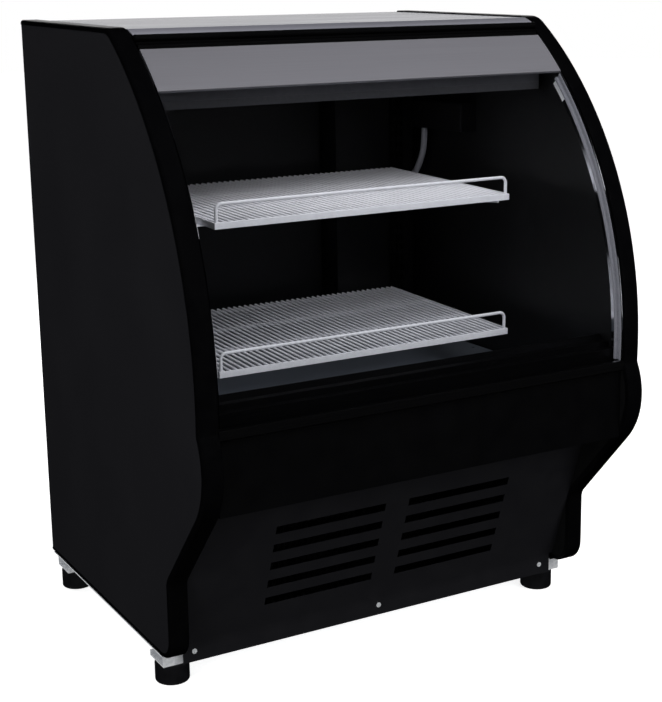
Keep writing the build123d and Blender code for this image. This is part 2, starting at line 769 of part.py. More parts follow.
# Header profile: a bead in the socket, a neck and a curved channel that grips the glass
MM_ANGLE = 1 / (GLASS_R - HINGE_INSET)
HEADER_TO = HINGE_ANGLE - NECK_START * MM_ANGLE
HEADER_FROM = glass_angle(HEADER_LOW)
GRIP_TO = HEADER_FROM + HEADER_GRIP * MM_ANGLE
GLASS_X = INNER - GLASS_X_GAP
NECK_L = NECK_START + NECK_SUNK
with BuildPart() as header_profile:
    extrude(
        glass_band(Plane.YZ, HEADER_SET, HEADER_SET + HEADER_T, HEADER_FROM, HEADER_TO),
        amount=GLASS_X,
        both=True,
    )
    extrude(
        glass_band(
            Plane.YZ, GLASS_SET - FIT / 2, GLASS_SET + GLASS_T + FIT / 2, HEADER_FROM - MM_ANGLE, GRIP_TO
        ),
        amount=GLASS_X,
        both=True,
        mode=Mode.SUBTRACT,
    )
    with BuildSketch(Plane.YZ) as bead:
        with Locations(HINGE):
            Circle(BEAD_R)
        with Locations(
            Location(
                (
                    HINGE[0] - sin(HINGE_ANGLE) * NECK_L / 2,
                    HINGE[1] - cos(HINGE_ANGLE) * NECK_L / 2,
                ),
                NECK_REST,
            )
        ):
            Rectangle(NECK_L, NECK_T)
    extrude(bead.sketch, amount=GLASS_X, both=True)
header_profile.part.label = "header_profile"
export_step(header_profile.part, "parts/header_profile.step")

with BuildPart() as front_glass:
    glass_from = glass_angle(GLASS_LOW)
    glass_to = GRIP_TO - FIT * MM_ANGLE
    extrude(
        glass_band(Plane.YZ, GLASS_SET, GLASS_SET + GLASS_T, glass_from, glass_to),
        amount=GLASS_X,
        both=True,
    )
front_glass.part.label = "front_glass"
export_step(front_glass.part, "parts/front_glass.step")


# Sill: stepped extrusion under the glass, hollow under its steps
SILL_FRONT = BELLY_Y - SILL_NOSE_OUT
GROOVE_Y = SILL_FRONT + SILL_NOSE_D
STEP_Y = GROOVE_Y + SILL_GROOVE_D
STEP_2_Y = STEP_Y + SILL_STEP_D
STEP_3_Y = STEP_2_Y + SILL_STEP_D
SILL_BACK_Y = STEP_3_Y + SILL_BACK_D
sill_points = (
    (BELLY_Y, SILL_LOW),
    (SILL_FRONT, SILL_LOW + SILL_NOSE_RISE),
    (SILL_FRONT, SILL_NOSE_Z),
    (GROOVE_Y, SILL_NOSE_Z),
    (GROOVE_Y, SILL_GROOVE_Z),
    (STEP_Y, SILL_GROOVE_Z),
    (STEP_Y, SILL_STEP_LOW),
    (STEP_2_Y, SILL_STEP_LOW),
    (STEP_2_Y, SILL_STEP_HIGH),
    (STEP_3_Y, SILL_STEP_HIGH),
    (SILL_BACK_Y - SILL_BACK_T, SILL_BACK_Z),
    (SILL_BACK_Y, SILL_BACK_Z),
    (SILL_BACK_Y, SILL_LOW),
)
with BuildPart() as sill_extrusion:
    extrude(side_sheet(sill_points), amount=SPAN, both=True)
    add(
        block(
            (-SPAN, STEP_Y + SILL_WALL, SILL_LOW + SILL_WALL),
            (SPAN, SILL_BACK_Y - SILL_WALL, SILL_STEP_LOW - SILL_WALL),
        ),
        mode=Mode.SUBTRACT,
    )
sill_extrusion.part.label = "sill_extrusion"
export_step(sill_extrusion.part, "parts/sill_extrusion.step")


# Belly panel: flat sheet with a deep return flange at its foot
RETURN_END = KICK_TOP[0] - FIT
with BuildPart() as belly_panel:
    add(block((-SPAN, BELLY_Y, BELLY_LOW), (SPAN, BELLY_Y + BELLY_T, SILL_LOW)))
    add(block((-SPAN, BELLY_Y, BELLY_LOW), (SPAN, RETURN_END, BELLY_LOW + BELLY_T)))
belly_panel.part.label = "belly_panel"
export_step(belly_panel.part, "parts/belly_panel.step")


# Kick panel: leaning sheet with two columns of slots and an upright flange at its foot
KICK_ACROSS = KICK_T / cos(KICK_LEAN)
kick_points = (
    KICK_TOP,
    KICK_FOLD,
    (KICK_FOLD[0] + KICK_ACROSS, KICK_FOLD[1]),
    (KICK_TOP[0] + KICK_ACROSS, KICK_TOP[1]),
)
kick_face = Plane(
    (0, KICK_TOP[0], KICK_TOP[1]), x_dir=(1, 0, 0), z_dir=(0, -cos(KICK_LEAN), -sin(KICK_LEAN))
)
with BuildPart() as kick_panel:
    extrude(side_sheet(kick_points), amount=SPAN, both=True)
    add(
        block(
            (-KICK_FLANGE_X, KICK_FOLD[0], KICK_LOW),
            (KICK_FLANGE_X, KICK_FOLD[0] + KICK_T, KICK_FOLD[1]),
        )
    )
    with BuildSketch(kick_face):
        for row in range(SLOT_ROWS):
            with Locations(
                (-SLOT_COLUMN_X, -SLOT_FIRST - row * SLOT_PITCH),
                (SLOT_COLUMN_X, -SLOT_FIRST - row * SLOT_PITCH),
            ):
                Rectangle(SLOT_W, SLOT_H)
    extrude(amount=2 * KICK_T, both=True, mode=Mode.SUBTRACT)
    with BuildSketch(Plane.XZ.offset(-KICK_FOLD[0])):
        with Locations(*[(x, SCREW_Z) for x in SCREW_X]):
            Circle(SCREW_R + PIN_GAP)
    extrude(amount=-KICK_T, mode=Mode.SUBTRACT)
kick_panel.part.label = "kick_panel"
export_step(kick_panel.part, "parts/kick_panel.step")

with BuildPart() as kick_screws:
    with BuildSketch(Plane.XZ.offset(-KICK_FOLD[0])):
        with Locations(*[(x, SCREW_Z) for x in SCREW_X]):
            Circle(SCREW_HEAD_R)
    extrude(amount=SCREW_HEAD_T)
    with BuildSketch(Plane.XZ.offset(-KICK_FOLD[0])):
        with Locations(*[(x, SCREW_Z) for x in SCREW_X]):
            Circle(SCREW_R)
    extrude(amount=-(RAIL_FRONT + RAIL_T - KICK_FOLD[0]))
kick_screws.part.label = "kick_screws"
export_step(kick_screws.part, "parts/kick_screws.step")


# Tub: foam floor and front wall with a steel liner
TUB_FRONT = BELLY_Y + BELLY_T + FIT
TUB_INNER = BELLY_Y + TUB_FRONT_T
REAR_CORE_Y = REAR_Y - SKIN
SLOPE_LOW = TUB_INNER + TUB_SLOPE_D
SLOPE_HIGH = TUB_Z + TUB_SLOPE_H
KICK_CLEAR = KICK_TOP[0] + KICK_ACROSS + TUB_KICK_GAP
tub_step_z = BELLY_LOW + BELLY_T + FIT
tub_points = (
    (TUB_FRONT, SILL_LOW - FIT),
    (TUB_FRONT, tub_step_z),
    (KICK_CLEAR, tub_step_z),
    (KICK_CLEAR + (tub_step_z - TUB_BOTTOM) * tan(KICK_LEAN), TUB_BOTTOM),
    (REAR_CORE_Y, TUB_BOTTOM),
    (REAR_CORE_Y, TUB_Z),
    (SLOPE_LOW, TUB_Z),
    (TUB_INNER, SLOPE_HIGH),
    (TUB_INNER, SILL_LOW - FIT),
)
with BuildPart() as tub_foam:
    extrude(side_sheet(tub_points), amount=SPAN, both=True)
tub_foam.part.label = "tub_foam"
export_step(tub_foam.part, "parts/tub_foam.step")

slope_turn = atan2(SLOPE_HIGH - TUB_Z, SLOPE_LOW - TUB_INNER)
low_shift = LINER_T * tan(slope_turn / 2)
high_shift = LINER_T * tan((radians(90) - slope_turn) / 2)
liner_points = (
    (TUB_INNER, SILL_LOW - FIT),
    (TUB_INNER, SLOPE_HIGH),
    (SLOPE_LOW, TUB_Z),
    (WALL_Y, TUB_Z),
    (WALL_Y, TUB_Z + LINER_T),
    (SLOPE_LOW + low_shift, TUB_Z + LINER_T),
    (TUB_INNER + LINER_T, SLOPE_HIGH + high_shift),
    (TUB_INNER + LINER_T, SILL_LOW - FIT),
)
with BuildPart() as tub_liner:
    extrude(side_sheet(liner_points), amount=SPAN, both=True)
tub_liner.part.label = "tub_liner"
export_step(tub_liner.part, "parts/tub_liner.step")


# Rear wall: liner, foam and outer sheet with the doorway through them
def doorway(front, back):
    """The block that the doorway takes out of a wall."""
    return block((-DOOR_W / 2, front, DOOR_LOW), (DOOR_W / 2, back, DOOR_HIGH))


with BuildPart() as rear_liner:
    add(block((-SPAN, WALL_Y, TUB_Z), (SPAN, WALL_Y + LINER_T, CEILING_Z)))
    add(doorway(WALL_Y - OVER, WALL_Y + LINER_T + OVER), mode=Mode.SUBTRACT)
rear_liner.part.label = "rear_liner"
export_step(rear_liner.part, "parts/rear_liner.step")

with BuildPart() as rear_foam:
    add(block((-SPAN, WALL_Y + LINER_T, TUB_Z), (SPAN, REAR_CORE_Y, SLAB_LOW)))
    add(doorway(WALL_Y, REAR_Y), mode=Mode.SUBTRACT)
rear_foam.part.label = "rear_foam"
export_step(rear_foam.part, "parts/rear_foam.step")

with BuildPart() as rear_outer_sheet:
    add(block((-SPAN, REAR_CORE_Y, TUB_BOTTOM), (SPAN, REAR_Y, SLAB_LOW)))
    add(doorway(REAR_CORE_Y - OVER, REAR_Y + OVER), mode=Mode.SUBTRACT)
rear_outer_sheet.part.label = "rear_outer_sheet"
export_step(rear_outer_sheet.part, "parts/rear_outer_sheet.step")


# Air ducts: sheet boxes on the rear wall beside the doorway, open to the liner
DUCT_Y = WALL_Y - DUCT_D
UP_Y = DUCT_Y - UPRIGHT_T
with BuildPart() as air_ducts:
    for side, word in SIDES:
        inner_x = side * DUCT_IN
        outer_x = side * DUCT_OUT
        low_x = min(inner_x, outer_x)
        high_x = max(inner_x, outer_x)
        add(block((low_x, DUCT_Y, TUB_Z + LINER_T), (high_x, WALL_Y, CEILING_Z)))
        add(
            block(
                (low_x + DUCT_T, DUCT_Y + DUCT_T, TUB_Z + LINER_T + DUCT_T),
                (high_x - DUCT_T, WALL_Y, CEILING_Z - DUCT_T),
            ),
            mode=Mode.SUBTRACT,
        )
        window_x = side * (UPRIGHT_IN + UPRIGHT_W / 2)
        window_w = UPRIGHT_W / 2 - WINDOW_MARGIN
        add(
            block(
                (window_x - window_w, DUCT_Y - OVER, UPRIGHT_LOW + UP_SLOT_H),
                (window_x + window_w, DUCT_Y + DUCT_T + OVER, UPRIGHT_HIGH - UP_SLOT_H),
            ),
            mode=Mode.SUBTRACT,
        )
air_ducts.part.label = "air_ducts"
export_step(air_ducts.part, "parts/air_ducts.step")


# Uprights: flat strips with three columns of slots for the brackets' hooks
UP_SLOT_START = UPRIGHT_LOW + UP_SLOT_PITCH
UP_SLOT_COUNT = int((UPRIGHT_HIGH - UP_SLOT_START) / UP_SLOT_PITCH)
with BuildPart() as shelf_uprights:
    for side, word in SIDES:
        near_x = side * UPRIGHT_IN
        far_x = side * (UPRIGHT_IN + UPRIGHT_W)
        low_x = min(near_x, far_x)
        high_x = max(near_x, far_x)
        add(block((low_x, UP_Y, UPRIGHT_LOW), (high_x, DUCT_Y, UPRIGHT_HIGH)))
        columns = [
            side * (UPRIGHT_IN + UP_SLOT_EDGE + i * UP_SLOT_COLUMN) for i in range(UP_SLOT_COLUMNS)
        ]
        rows = [UP_SLOT_START + i * UP_SLOT_PITCH for i in range(UP_SLOT_COUNT)]
        with BuildSketch(Plane.XZ.offset(-UP_Y)):
            with Locations(*[(x, z) for x in columns for z in rows]):
                Rectangle(UP_SLOT_W, UP_SLOT_H)
        extrude(amount=-UPRIGHT_T, mode=Mode.SUBTRACT)
shelf_uprights.part.label = "shelf_uprights"
export_step(shelf_uprights.part, "parts/shelf_uprights.step")


# Brackets: a tapered plate with a ledge under the shelf's side and hooks in the upright
SHELF_REAR = REAR - SHELF_REAR_SETBACK
SLOPE = radians(SHELF_SLOPE)
PLATE_X = UPRIGHT_IN + UP_SLOT_EDGE - BRACKET_PLATE / 2
SHELF_FRONT = SHELF_REAR - SHELF_D * cos(SLOPE)
BRACKET_NOSE_Y = SHELF_FRONT + BRACKET_NOSE_BACK


def under_shelf(shelf_z, y):
    """Height of the underside of a shelf's frame."""
    return shelf_z - (SHELF_REAR - y) * tan(SLOPE) - STRIP_H / cos(SLOPE)


with BuildPart() as shelf_brackets:
    for shelf_z in (SHELF_UPPER_Z, SHELF_LOWER_Z):
        nose_z = under_shelf(shelf_z, BRACKET_NOSE_Y) - GAP
        rear_z = under_shelf(shelf_z, UP_Y) - GAP
        plate_top = rear_z + BRACKET_LAP
        plate = (
            (BRACKET_NOSE_Y, nose_z + BRACKET_LAP),
            (BRACKET_NOSE_Y, nose_z + BRACKET_LAP - BRACKET_NOSE_H),
            (UP_Y, rear_z - BRACKET_REAR_H),
            (UP_Y, plate_top),
        )
        ledge = (
            (BRACKET_NOSE_Y, nose_z),
            (BRACKET_NOSE_Y, nose_z - BRACKET_LEDGE_T),
            (SHELF_REAR, under_shelf(shelf_z, SHELF_REAR) - GAP - BRACKET_LEDGE_T),
            (SHELF_REAR, under_shelf(shelf_z, SHELF_REAR) - GAP),
        )
        hook_rows = [
            z
            for z in rows
            if rear_z - BRACKET_REAR_H < z - UP_SLOT_H / 2 and z + UP_SLOT_H / 2 < plate_top
        ]
        for side, word in SIDES:
            plate_x = PLATE_X if side > 0 else -PLATE_X - BRACKET_PLATE
            ledge_x = PLATE_X - BRACKET_LEDGE if side > 0 else -PLATE_X
            extrude(side_sheet(plate, plate_x), amount=BRACKET_PLATE)
            extrude(side_sheet(ledge, ledge_x), amount=BRACKET_LEDGE)
            for z in hook_rows:
                half = UP_SLOT_H / 2 - HOOK_SIDE_GAP
                hook_y = DUCT_Y + HOOK_DEPTH
                add(block((plate_x, UP_Y, z - half), (plate_x + BRACKET_PLATE, hook_y, z + half)))
shelf_brackets.part.label = "shelf_brackets"
export_step(shelf_brackets.part, "parts/shelf_brackets.step")


# Shelves: front-to-back wires on flat bands, inside a folded frame
BAND_Z = -2 * WIRE_R - BAND_T
for word, shelf_z in (("upper", SHELF_UPPER_Z), ("lower", SHELF_LOWER_Z)):
    top_plane = Plane(
        (0, SHELF_REAR, shelf_z), x_dir=(1, 0, 0), z_dir=(0, -sin(SLOPE), cos(SLOPE))
    )
    end_plane = Plane(
        (0, SHELF_REAR, shelf_z), x_dir=(1, 0, 0), z_dir=(0, -cos(SLOPE), -sin(SLOPE))
    )
    with BuildPart(top_plane) as shelf:
        with Locations((0, -SHELF_D + STRIP_T / 2, -STRIP_H / 2)):
            Box(SHELF_W, STRIP_T, STRIP_H)
        for side, hand in SIDES:
            with Locations((side * (SHELF_W / 2 - STRIP_T / 2), -SHELF_D / 2, -STRIP_H / 2)):
                Box(STRIP_T, SHELF_D, STRIP_H)
        for i in range(SHELF_BANDS):
            band_y = -SHELF_D + BAND_W / 2 + i * (SHELF_D - BAND_W) / (SHELF_BANDS - 1)
            with Locations((0, band_y, BAND_Z + BAND_T / 2)):
                Box(SHELF_W, BAND_W, BAND_T)
        with BuildSketch(end_plane):
            with Locations((0, -WIRE_R)):
                with GridLocations(WIRE_PITCH, 0, WIRE_COUNT, 1):
                    Circle(WIRE_R + WIRE_WELD)
        extrude(amount=SHELF_D - STRIP_T / 2)
    shelf.part.label = f"{word}_shelf"
    export_step(shelf.part, f"parts/{word}_shelf.step")


    # Guard rail: a bent wire that stands on the shelf's front band
    stand = top_plane.from_local_coords(
        Vector(0, -SHELF_D + STRIP_T + RAIL_WIRE_R + 2 * GAP, -2 * WIRE_R)
    )
    foot_z = stand.Z + FIT
    crest_z = shelf_z - SHELF_D * sin(SLOPE) + RAIL_WIRE_UP - RAIL_WIRE_R
    with BuildPart() as guard_rail:
        with BuildLine() as wire:
            FilletPolyline(
                (-RAIL_WIRE_X, stand.Y, foot_z),
                (-RAIL_WIRE_X, stand.Y, crest_z),
                (RAIL_WIRE_X, stand.Y, crest_z),
                (RAIL_WIRE_X, stand.Y, foot_z),
                radius=RAIL_WIRE_BEND,
            )
        with BuildSketch(Plane((-RAIL_WIRE_X, stand.Y, foot_z))):
            Circle(RAIL_WIRE_R)
        sweep()
    guard_rail.part.label = f"{word}_guard_rail"
    export_step(guard_rail.part, f"parts/{word}_guard_rail.step")


# Deck: steel tray on two side skirts that stand on the tub floor
TUB_FLOOR = TUB_Z + LINER_T
DECK_X = SPAN - DECK_X_GAP
DECK_FRONT = TUB_INNER + LINER_T + DECK_FRONT_GAP
DECK_REAR = DUCT_Y - DECK_REAR_GAP
with BuildPart() as deck_pan:
    add(block((-DECK_X, DECK_FRONT, DECK_Z - DECK_T), (DECK_X, DECK_REAR, DECK_Z)))
    for side, word in SIDES:
        low_x = side * DECK_X if side < 0 else DECK_X - DECK_T
        add(
            block(
                (low_x, SLOPE_LOW + 2 * GAP + LINER_T, TUB_FLOOR + GAP),
                (low_x + DECK_T, DECK_REAR, DECK_Z - DECK_T),
            )
        )
    with BuildSketch(Plane.XY.offset(DECK_Z - DECK_T)):
        with Locations(DECK_HOLE):
            Circle(DECK_HOLE_R)
    extrude(amount=DECK_T, mode=Mode.SUBTRACT)
deck_pan.part.label = "deck_pan"
export_step(deck_pan.part, "parts/deck_pan.step")


# Fans: a rotor on a pin, inside a ring whose struts carry the motor
def fan_depth(radius):
    """Depth of a rotor along its pin."""
    return FAN_HUB_D + radius / 4


def fan_ring_depth(radius):
    """Depth of the ring round a rotor."""
    return fan_depth(radius) + 3 * FAN_CLEAR


def fan_rotor(plane, radius):
    """Hub with pitched blades, bored for its pin, centred on the plane."""
    depth = fan_depth(radius)
    hub_r = radius * 0.3
    chord = radius * 0.55
    with BuildPart(plane) as rotor:
        with PolarLocations(0, FAN_BLADES):
            with Locations(Location(((hub_r * 0.8 + radius) / 2, 0, 0), (BLADE_TILT, 0, 0))):
                Box(radius * 1.1 - hub_r * 0.8, chord, BLADE_T)
        Cylinder(radius, depth, mode=Mode.INTERSECT)
        Cylinder(hub_r, depth)
        Cylinder(FAN_PIN_R + PIN_GAP, depth, mode=Mode.SUBTRACT)
    return rotor.part


def fan_mount(plane, radius, width, height, aside=0.0):
    """Plate with a ring, three struts, a motor and the rotor's pin."""
    ring_r = radius + FAN_CLEAR
    length = fan_ring_depth(radius)
    motor_r = radius * 0.28
    with BuildPart(plane) as mount:
        with BuildSketch(plane):
            with Locations((aside, 0)):
                Rectangle(width, height)
            Circle(ring_r + SHROUD_T)
            Circle(ring_r, mode=Mode.SUBTRACT)
        extrude(amount=SHROUD_T)
        with BuildSketch(plane):
            Circle(ring_r + SHROUD_T)
            Circle(ring_r, mode=Mode.SUBTRACT)
        extrude(amount=length)
        with BuildSketch(plane.offset(length - FAN_CLEAR)):
            with PolarLocations((ring_r + motor_r) / 2, 3, start_angle=90):
                Rectangle(ring_r - motor_r + 2 * OVER, STRUT_W)
            Circle(motor_r)
        extrude(amount=FAN_CLEAR)
        with BuildSketch(plane.offset(length)):
            Circle(motor_r)
        extrude(amount=radius * 0.35)
        with BuildSketch(plane.offset(FAN_CLEAR)):
            Circle(FAN_PIN_R)
        extrude(amount=length - 2 * FAN_CLEAR)
    return mount.part


def finned_coil(low, size, fins, rows):
    """End plates, fins and straight tubes of a heat exchanger."""
    width, deep, high = size
    with BuildPart() as coil:
        for i in range(fins):
            x = low[0] + i * (width - FIN_T) / (fins - 1)
            add(block((x, low[1], low[2]), (x + FIN_T, low[1] + deep, low[2] + high)))
        across = [low[1] + deep * (0.5 + j) / 2 for j in range(2)]
        upward = [low[2] + high * (0.5 + j) / rows for j in range(rows)]
        with BuildSketch(Plane.YZ.offset(low[0])):
            with Locations(*[(y, z) for y in across for z in upward]):
                Circle(TUBE_R)
        extrude(amount=width)
    return coil.part


# Evaporator: finned coil on the tub floor with its fan behind it
COIL_LOW = (-COIL_W / 2, COIL_Y - COIL_D / 2, TUB_FLOOR)
EVAP_PLATE_Y = COIL_Y + COIL_D / 2 + PLENUM
EVAP_FAN_Z = TUB_FLOOR + COIL_H / 2 + SHROUD_T
evap_plane = Plane((0, EVAP_PLATE_Y, EVAP_FAN_Z), x_dir=(-1, 0, 0), z_dir=(0, 1, 0))
with BuildPart() as evaporator_coil:
    add(finned_coil(COIL_LOW, (COIL_W, COIL_D, COIL_H), COIL_FINS, COIL_ROWS))
    for side, word in SIDES:
        low_x = side * COIL_W / 2 - (FIN_T if side > 0 else 0)
        add(
            block(
                (low_x, COIL_LOW[1], TUB_FLOOR),
                (low_x + FIN_T, EVAP_PLATE_Y + SHROUD_T, TUB_FLOOR + COIL_H),
            )
        )
    add(fan_mount(evap_plane, EVAP_FAN_R, COIL_W, COIL_H))
evaporator_coil.part.label = "evaporator_coil"
export_step(evaporator_coil.part, "parts/evaporator_coil.step")

EVAP_ROTOR_Y = EVAP_PLATE_Y + FAN_CLEAR + GAP + fan_depth(EVAP_FAN_R) / 2
with BuildPart() as evaporator_fan:
    add(
        fan_rotor(
            Plane((0, EVAP_ROTOR_Y, EVAP_FAN_Z), x_dir=(-1, 0, 0), z_dir=(0, 1, 0)), EVAP_FAN_R
        )
    )
evaporator_fan.part.label = "evaporator_fan"
export_step(evaporator_fan.part, "parts/evaporator_fan.step")


# Condenser: taller coil behind the kick panel's slots, its fan blows to the rear
COND_LOW = (
    CONDENSER_X - CONDENSER_W / 2,
    CONDENSER_Y - CONDENSER_D / 2,
    PANEL_BOTTOM,
)
COND_PLATE_Y = CONDENSER_Y + CONDENSER_D / 2 + PLENUM
COND_FAN_Z = PANEL_BOTTOM + CONDENSER_H / 2
cond_plane = Plane((CONDENSER_X, COND_PLATE_Y, COND_FAN_Z), x_dir=(-1, 0, 0), z_dir=(0, 1, 0))
with BuildPart() as condenser_coil:
    condenser_size = (CONDENSER_W, CONDENSER_D, CONDENSER_H)
    add(finned_coil(COND_LOW, condenser_size, CONDENSER_FINS, CONDENSER_ROWS))
    for side, word in SIDES:
        low_x = CONDENSER_X + side * CONDENSER_W / 2 - (FIN_T if side > 0 else 0)
        add(
            block(
                (low_x, COND_LOW[1], PANEL_BOTTOM),
                (low_x + FIN_T, COND_PLATE_Y + SHROUD_T, PANEL_BOTTOM + CONDENSER_H),
            )
        )
    add(fan_mount(cond_plane, CONDENSER_FAN_R, CONDENSER_W, CONDENSER_H))
condenser_coil.part.label = "condenser_coil"
export_step(condenser_coil.part, "parts/condenser_coil.step")

COND_ROTOR_Y = COND_PLATE_Y + FAN_CLEAR + GAP + fan_depth(CONDENSER_FAN_R) / 2
with BuildPart() as condenser_fan:
    add(
        fan_rotor(
            Plane((CONDENSER_X, COND_ROTOR_Y, COND_FAN_Z), x_dir=(-1, 0, 0), z_dir=(0, 1, 0)),
            CONDENSER_FAN_R,
        )
    )
condenser_fan.part.label = "condenser_fan"
export_step(condenser_fan.part, "parts/condenser_fan.step")


# Compressor: welded can on a foot plate with four rubber posts
with BuildPart() as compressor:
    with BuildSketch(Plane.XY.offset(PANEL_BOTTOM + POST_H + BASE_T)):
        with Locations((COMPRESSOR_X, COMPRESSOR_Y)):
            Circle(COMPRESSOR_R)
    extrude(amount=COMPRESSOR_H)
    fillet(compressor.edges().filter_by(GeomType.CIRCLE).sort_by(Axis.Z)[-1], COMPRESSOR_R * 0.45)
    with BuildSketch(Plane.XY.offset(PANEL_BOTTOM + POST_H)):
        with Locations((COMPRESSOR_X, COMPRESSOR_Y)):
            RectangleRounded(2.4 * COMPRESSOR_R, 2 * COMPRESSOR_R, FOOT_PLATE_R)
    extrude(amount=BASE_T)
    with BuildSketch(Plane.XY.offset(PANEL_BOTTOM)):
        with Locations((COMPRESSOR_X, COMPRESSOR_Y)):
            with GridLocations(2.1 * COMPRESSOR_R, 1.7 * COMPRESSOR_R, 2, 2):
                Circle(POST_R)
    extrude(amount=POST_H)
    with BuildSketch(Plane.XZ.offset(-COMPRESSOR_Y - COMPRESSOR_R + TERMINAL_SUNK)):
        with Locations((COMPRESSOR_X, PANEL_BOTTOM + POST_H + COMPRESSOR_H / 2)):
            Rectangle(TERMINAL_W, TERMINAL_W)
    extrude(amount=-TERMINAL_D)
compressor.part.label = "compressor"
export_step(compressor.part, "parts/compressor.step")


# Lamp canopy: folded trough under the ceiling with closed ends
CANOPY_Y = FRONT + CANOPY_SETBACK
CANOPY_TOP = CEILING_Z - FIT
CANOPY_BACK = CANOPY_Y + CANOPY_D
canopy_outer = (
    (CANOPY_Y, CANOPY_LOW),
    (CANOPY_Y, CANOPY_LOW + CANOPY_FACE_H),
    (CANOPY_Y + CANOPY_TOP_IN, CANOPY_TOP),
    (CANOPY_BACK, CANOPY_TOP),
    (CANOPY_BACK, CANOPY_LOW),
)
canopy_turn = atan2(CANOPY_TOP_IN, CANOPY_TOP - CANOPY_LOW - CANOPY_FACE_H)
canopy_drop = CANOPY_T * tan(canopy_turn / 2)
canopy_in = CANOPY_T * tan((radians(90) - canopy_turn) / 2)
canopy_inner = (
    (CANOPY_Y + CANOPY_T, CANOPY_LOW - OVER),
    (CANOPY_Y + CANOPY_T, CANOPY_LOW + CANOPY_FACE_H - canopy_drop),
    (CANOPY_Y + CANOPY_TOP_IN + canopy_in, CANOPY_TOP - CANOPY_T),
    (CANOPY_BACK - CANOPY_T, CANOPY_TOP - CANOPY_T),
    (CANOPY_BACK - CANOPY_T, CANOPY_LOW - OVER),
)
with BuildPart() as lamp_canopy:
    extrude(side_sheet(canopy_outer), amount=CANOPY_X, both=True)
    extrude(side_sheet(canopy_inner), amount=CANOPY_X - CANOPY_T, both=True, mode=Mode.SUBTRACT)
lamp_canopy.part.label = "lamp_canopy"
export_step(lamp_canopy.part, "parts/lamp_canopy.step")

DIFFUSER_LOW = CANOPY_LOW - DIFFUSER_H
with BuildPart() as lamp_diffuser:
    add(block((-CANOPY_X, CANOPY_Y, DIFFUSER_LOW), (CANOPY_X, CANOPY_BACK, CANOPY_LOW)))
    add(
        block(
            (-CANOPY_X + DIFFUSER_T, CANOPY_Y + DIFFUSER_T, DIFFUSER_LOW + DIFFUSER_T),
            (CANOPY_X - DIFFUSER_T, CANOPY_BACK - DIFFUSER_T, CANOPY_LOW + OVER),
        ),
        mode=Mode.SUBTRACT,
    )
lamp_diffuser.part.label = "lamp_diffuser"
export_step(lamp_diffuser.part, "parts/lamp_diffuser.step")

LAMP_Y = (CANOPY_Y + CANOPY_BACK) / 2
LAMP_Z = CANOPY_TOP - CANOPY_T - LAMP_DROP
with BuildPart() as lamp_tube:
    with BuildSketch(Plane.YZ.offset(-LAMP_L / 2)):
        with Locations((LAMP_Y, LAMP_Z)):
            Circle(LAMP_R)
    extrude(amount=LAMP_L)
lamp_tube.part.label = "lamp_tube"
export_step(lamp_tube.part, "parts/lamp_tube.step")

with BuildPart() as lamp_holders:
    for side, word in SIDES:
        near_x = side * (LAMP_L / 2 - HOLDER_GRIP)
        far_x = near_x + side * HOLDER_L
        low_x = min(near_x, far_x)
        add(
            block(
                (low_x, LAMP_Y - HOLDER_W / 2, LAMP_Z - HOLDER_W / 2),
                (low_x + HOLDER_L, LAMP_Y + HOLDER_W / 2, CANOPY_TOP - CANOPY_T),
            )
        )
        bore_x = low_x if side > 0 else low_x + HOLDER_L - HOLDER_GRIP
        with BuildSketch(Plane.YZ.offset(bore_x)):
            with Locations((LAMP_Y, LAMP_Z)):
                Circle(LAMP_R + PIN_GAP)
        extrude(amount=HOLDER_GRIP, mode=Mode.SUBTRACT)
lamp_holders.part.label = "lamp_holders"
export_step(lamp_holders.part, "parts/lamp_holders.step")


# Wiring box on the right inner wall, and the grey hose from it to the rear wall
with BuildPart() as wiring_box:
    box_low = (INNER - BOX_T, BOX_FRONT, BOX_LOW)
    box_high = (SPAN, WALL_Y - FIT, BOX_LOW + BOX_H)
    add(block(box_low, box_high))
    face = wiring_box.faces().sort_by(Axis.X)[0]
    fillet(face.edges(), BOX_R)
    add(
        block(
            [value + BOX_WALL for value in box_low],
            (SPAN + OVER, box_high[1] - BOX_WALL, box_high[2] - BOX_WALL),
        ),
        mode=Mode.SUBTRACT,
    )
wiring_box.part.label = "wiring_box"
export_step(wiring_box.part, "parts/wiring_box.step")

HOSE_X = INNER - HOSE_SIDE_IN
HOSE_POINTS = (
    (HOSE_X, WALL_Y - 80.0, BOX_LOW),
    (HOSE_X, WALL_Y - 80.0, BOX_LOW - 43.0),
    (HOSE_X, WALL_Y - 63.0, BOX_LOW - 82.0),
    (HOSE_X, WALL_Y - 39.0, BOX_LOW - 115.0),
    (HOSE_X, WALL_Y - 9.0, BOX_LOW - 131.0),
)


def bend_radii(points):
    """Radius of the arc at each inner point: as large as its two runs allow."""
    radii = []
    for before, at, after in zip(points, points[1:], points[2:]):
        first = Vector(*at) - Vector(*before)
        second = Vector(*after) - Vector(*at)
        turn = radians(first.get_angle(second))
        radii.append(0.45 * min(first.length, second.length) / tan(turn / 2))
    return radii


HOSE_RADII = bend_radii(HOSE_POINTS)
print("conduit radii", [round(radius, 1) for radius in HOSE_RADII])
with BuildPart() as conduit:
    with BuildLine() as route:
        FilletPolyline(*HOSE_POINTS, radius=HOSE_RADII)
    start_turn = Vector(*HOSE_POINTS[1]) - Vector(*HOSE_POINTS[0])
    with BuildSketch(Plane(HOSE_POINTS[0], z_dir=start_turn)):
        Circle(HOSE_R)
    sweep()
HOSE_LENGTH = route.wires()[0].length
HOSE_VOLUME = HOSE_LENGTH * pi * HOSE_R**2
print("conduit length", round(HOSE_LENGTH, 1), "volume ratio", conduit.part.volume / HOSE_VOLUME)
conduit.part.label = "conduit"
export_step(conduit.part, "parts/conduit.step")

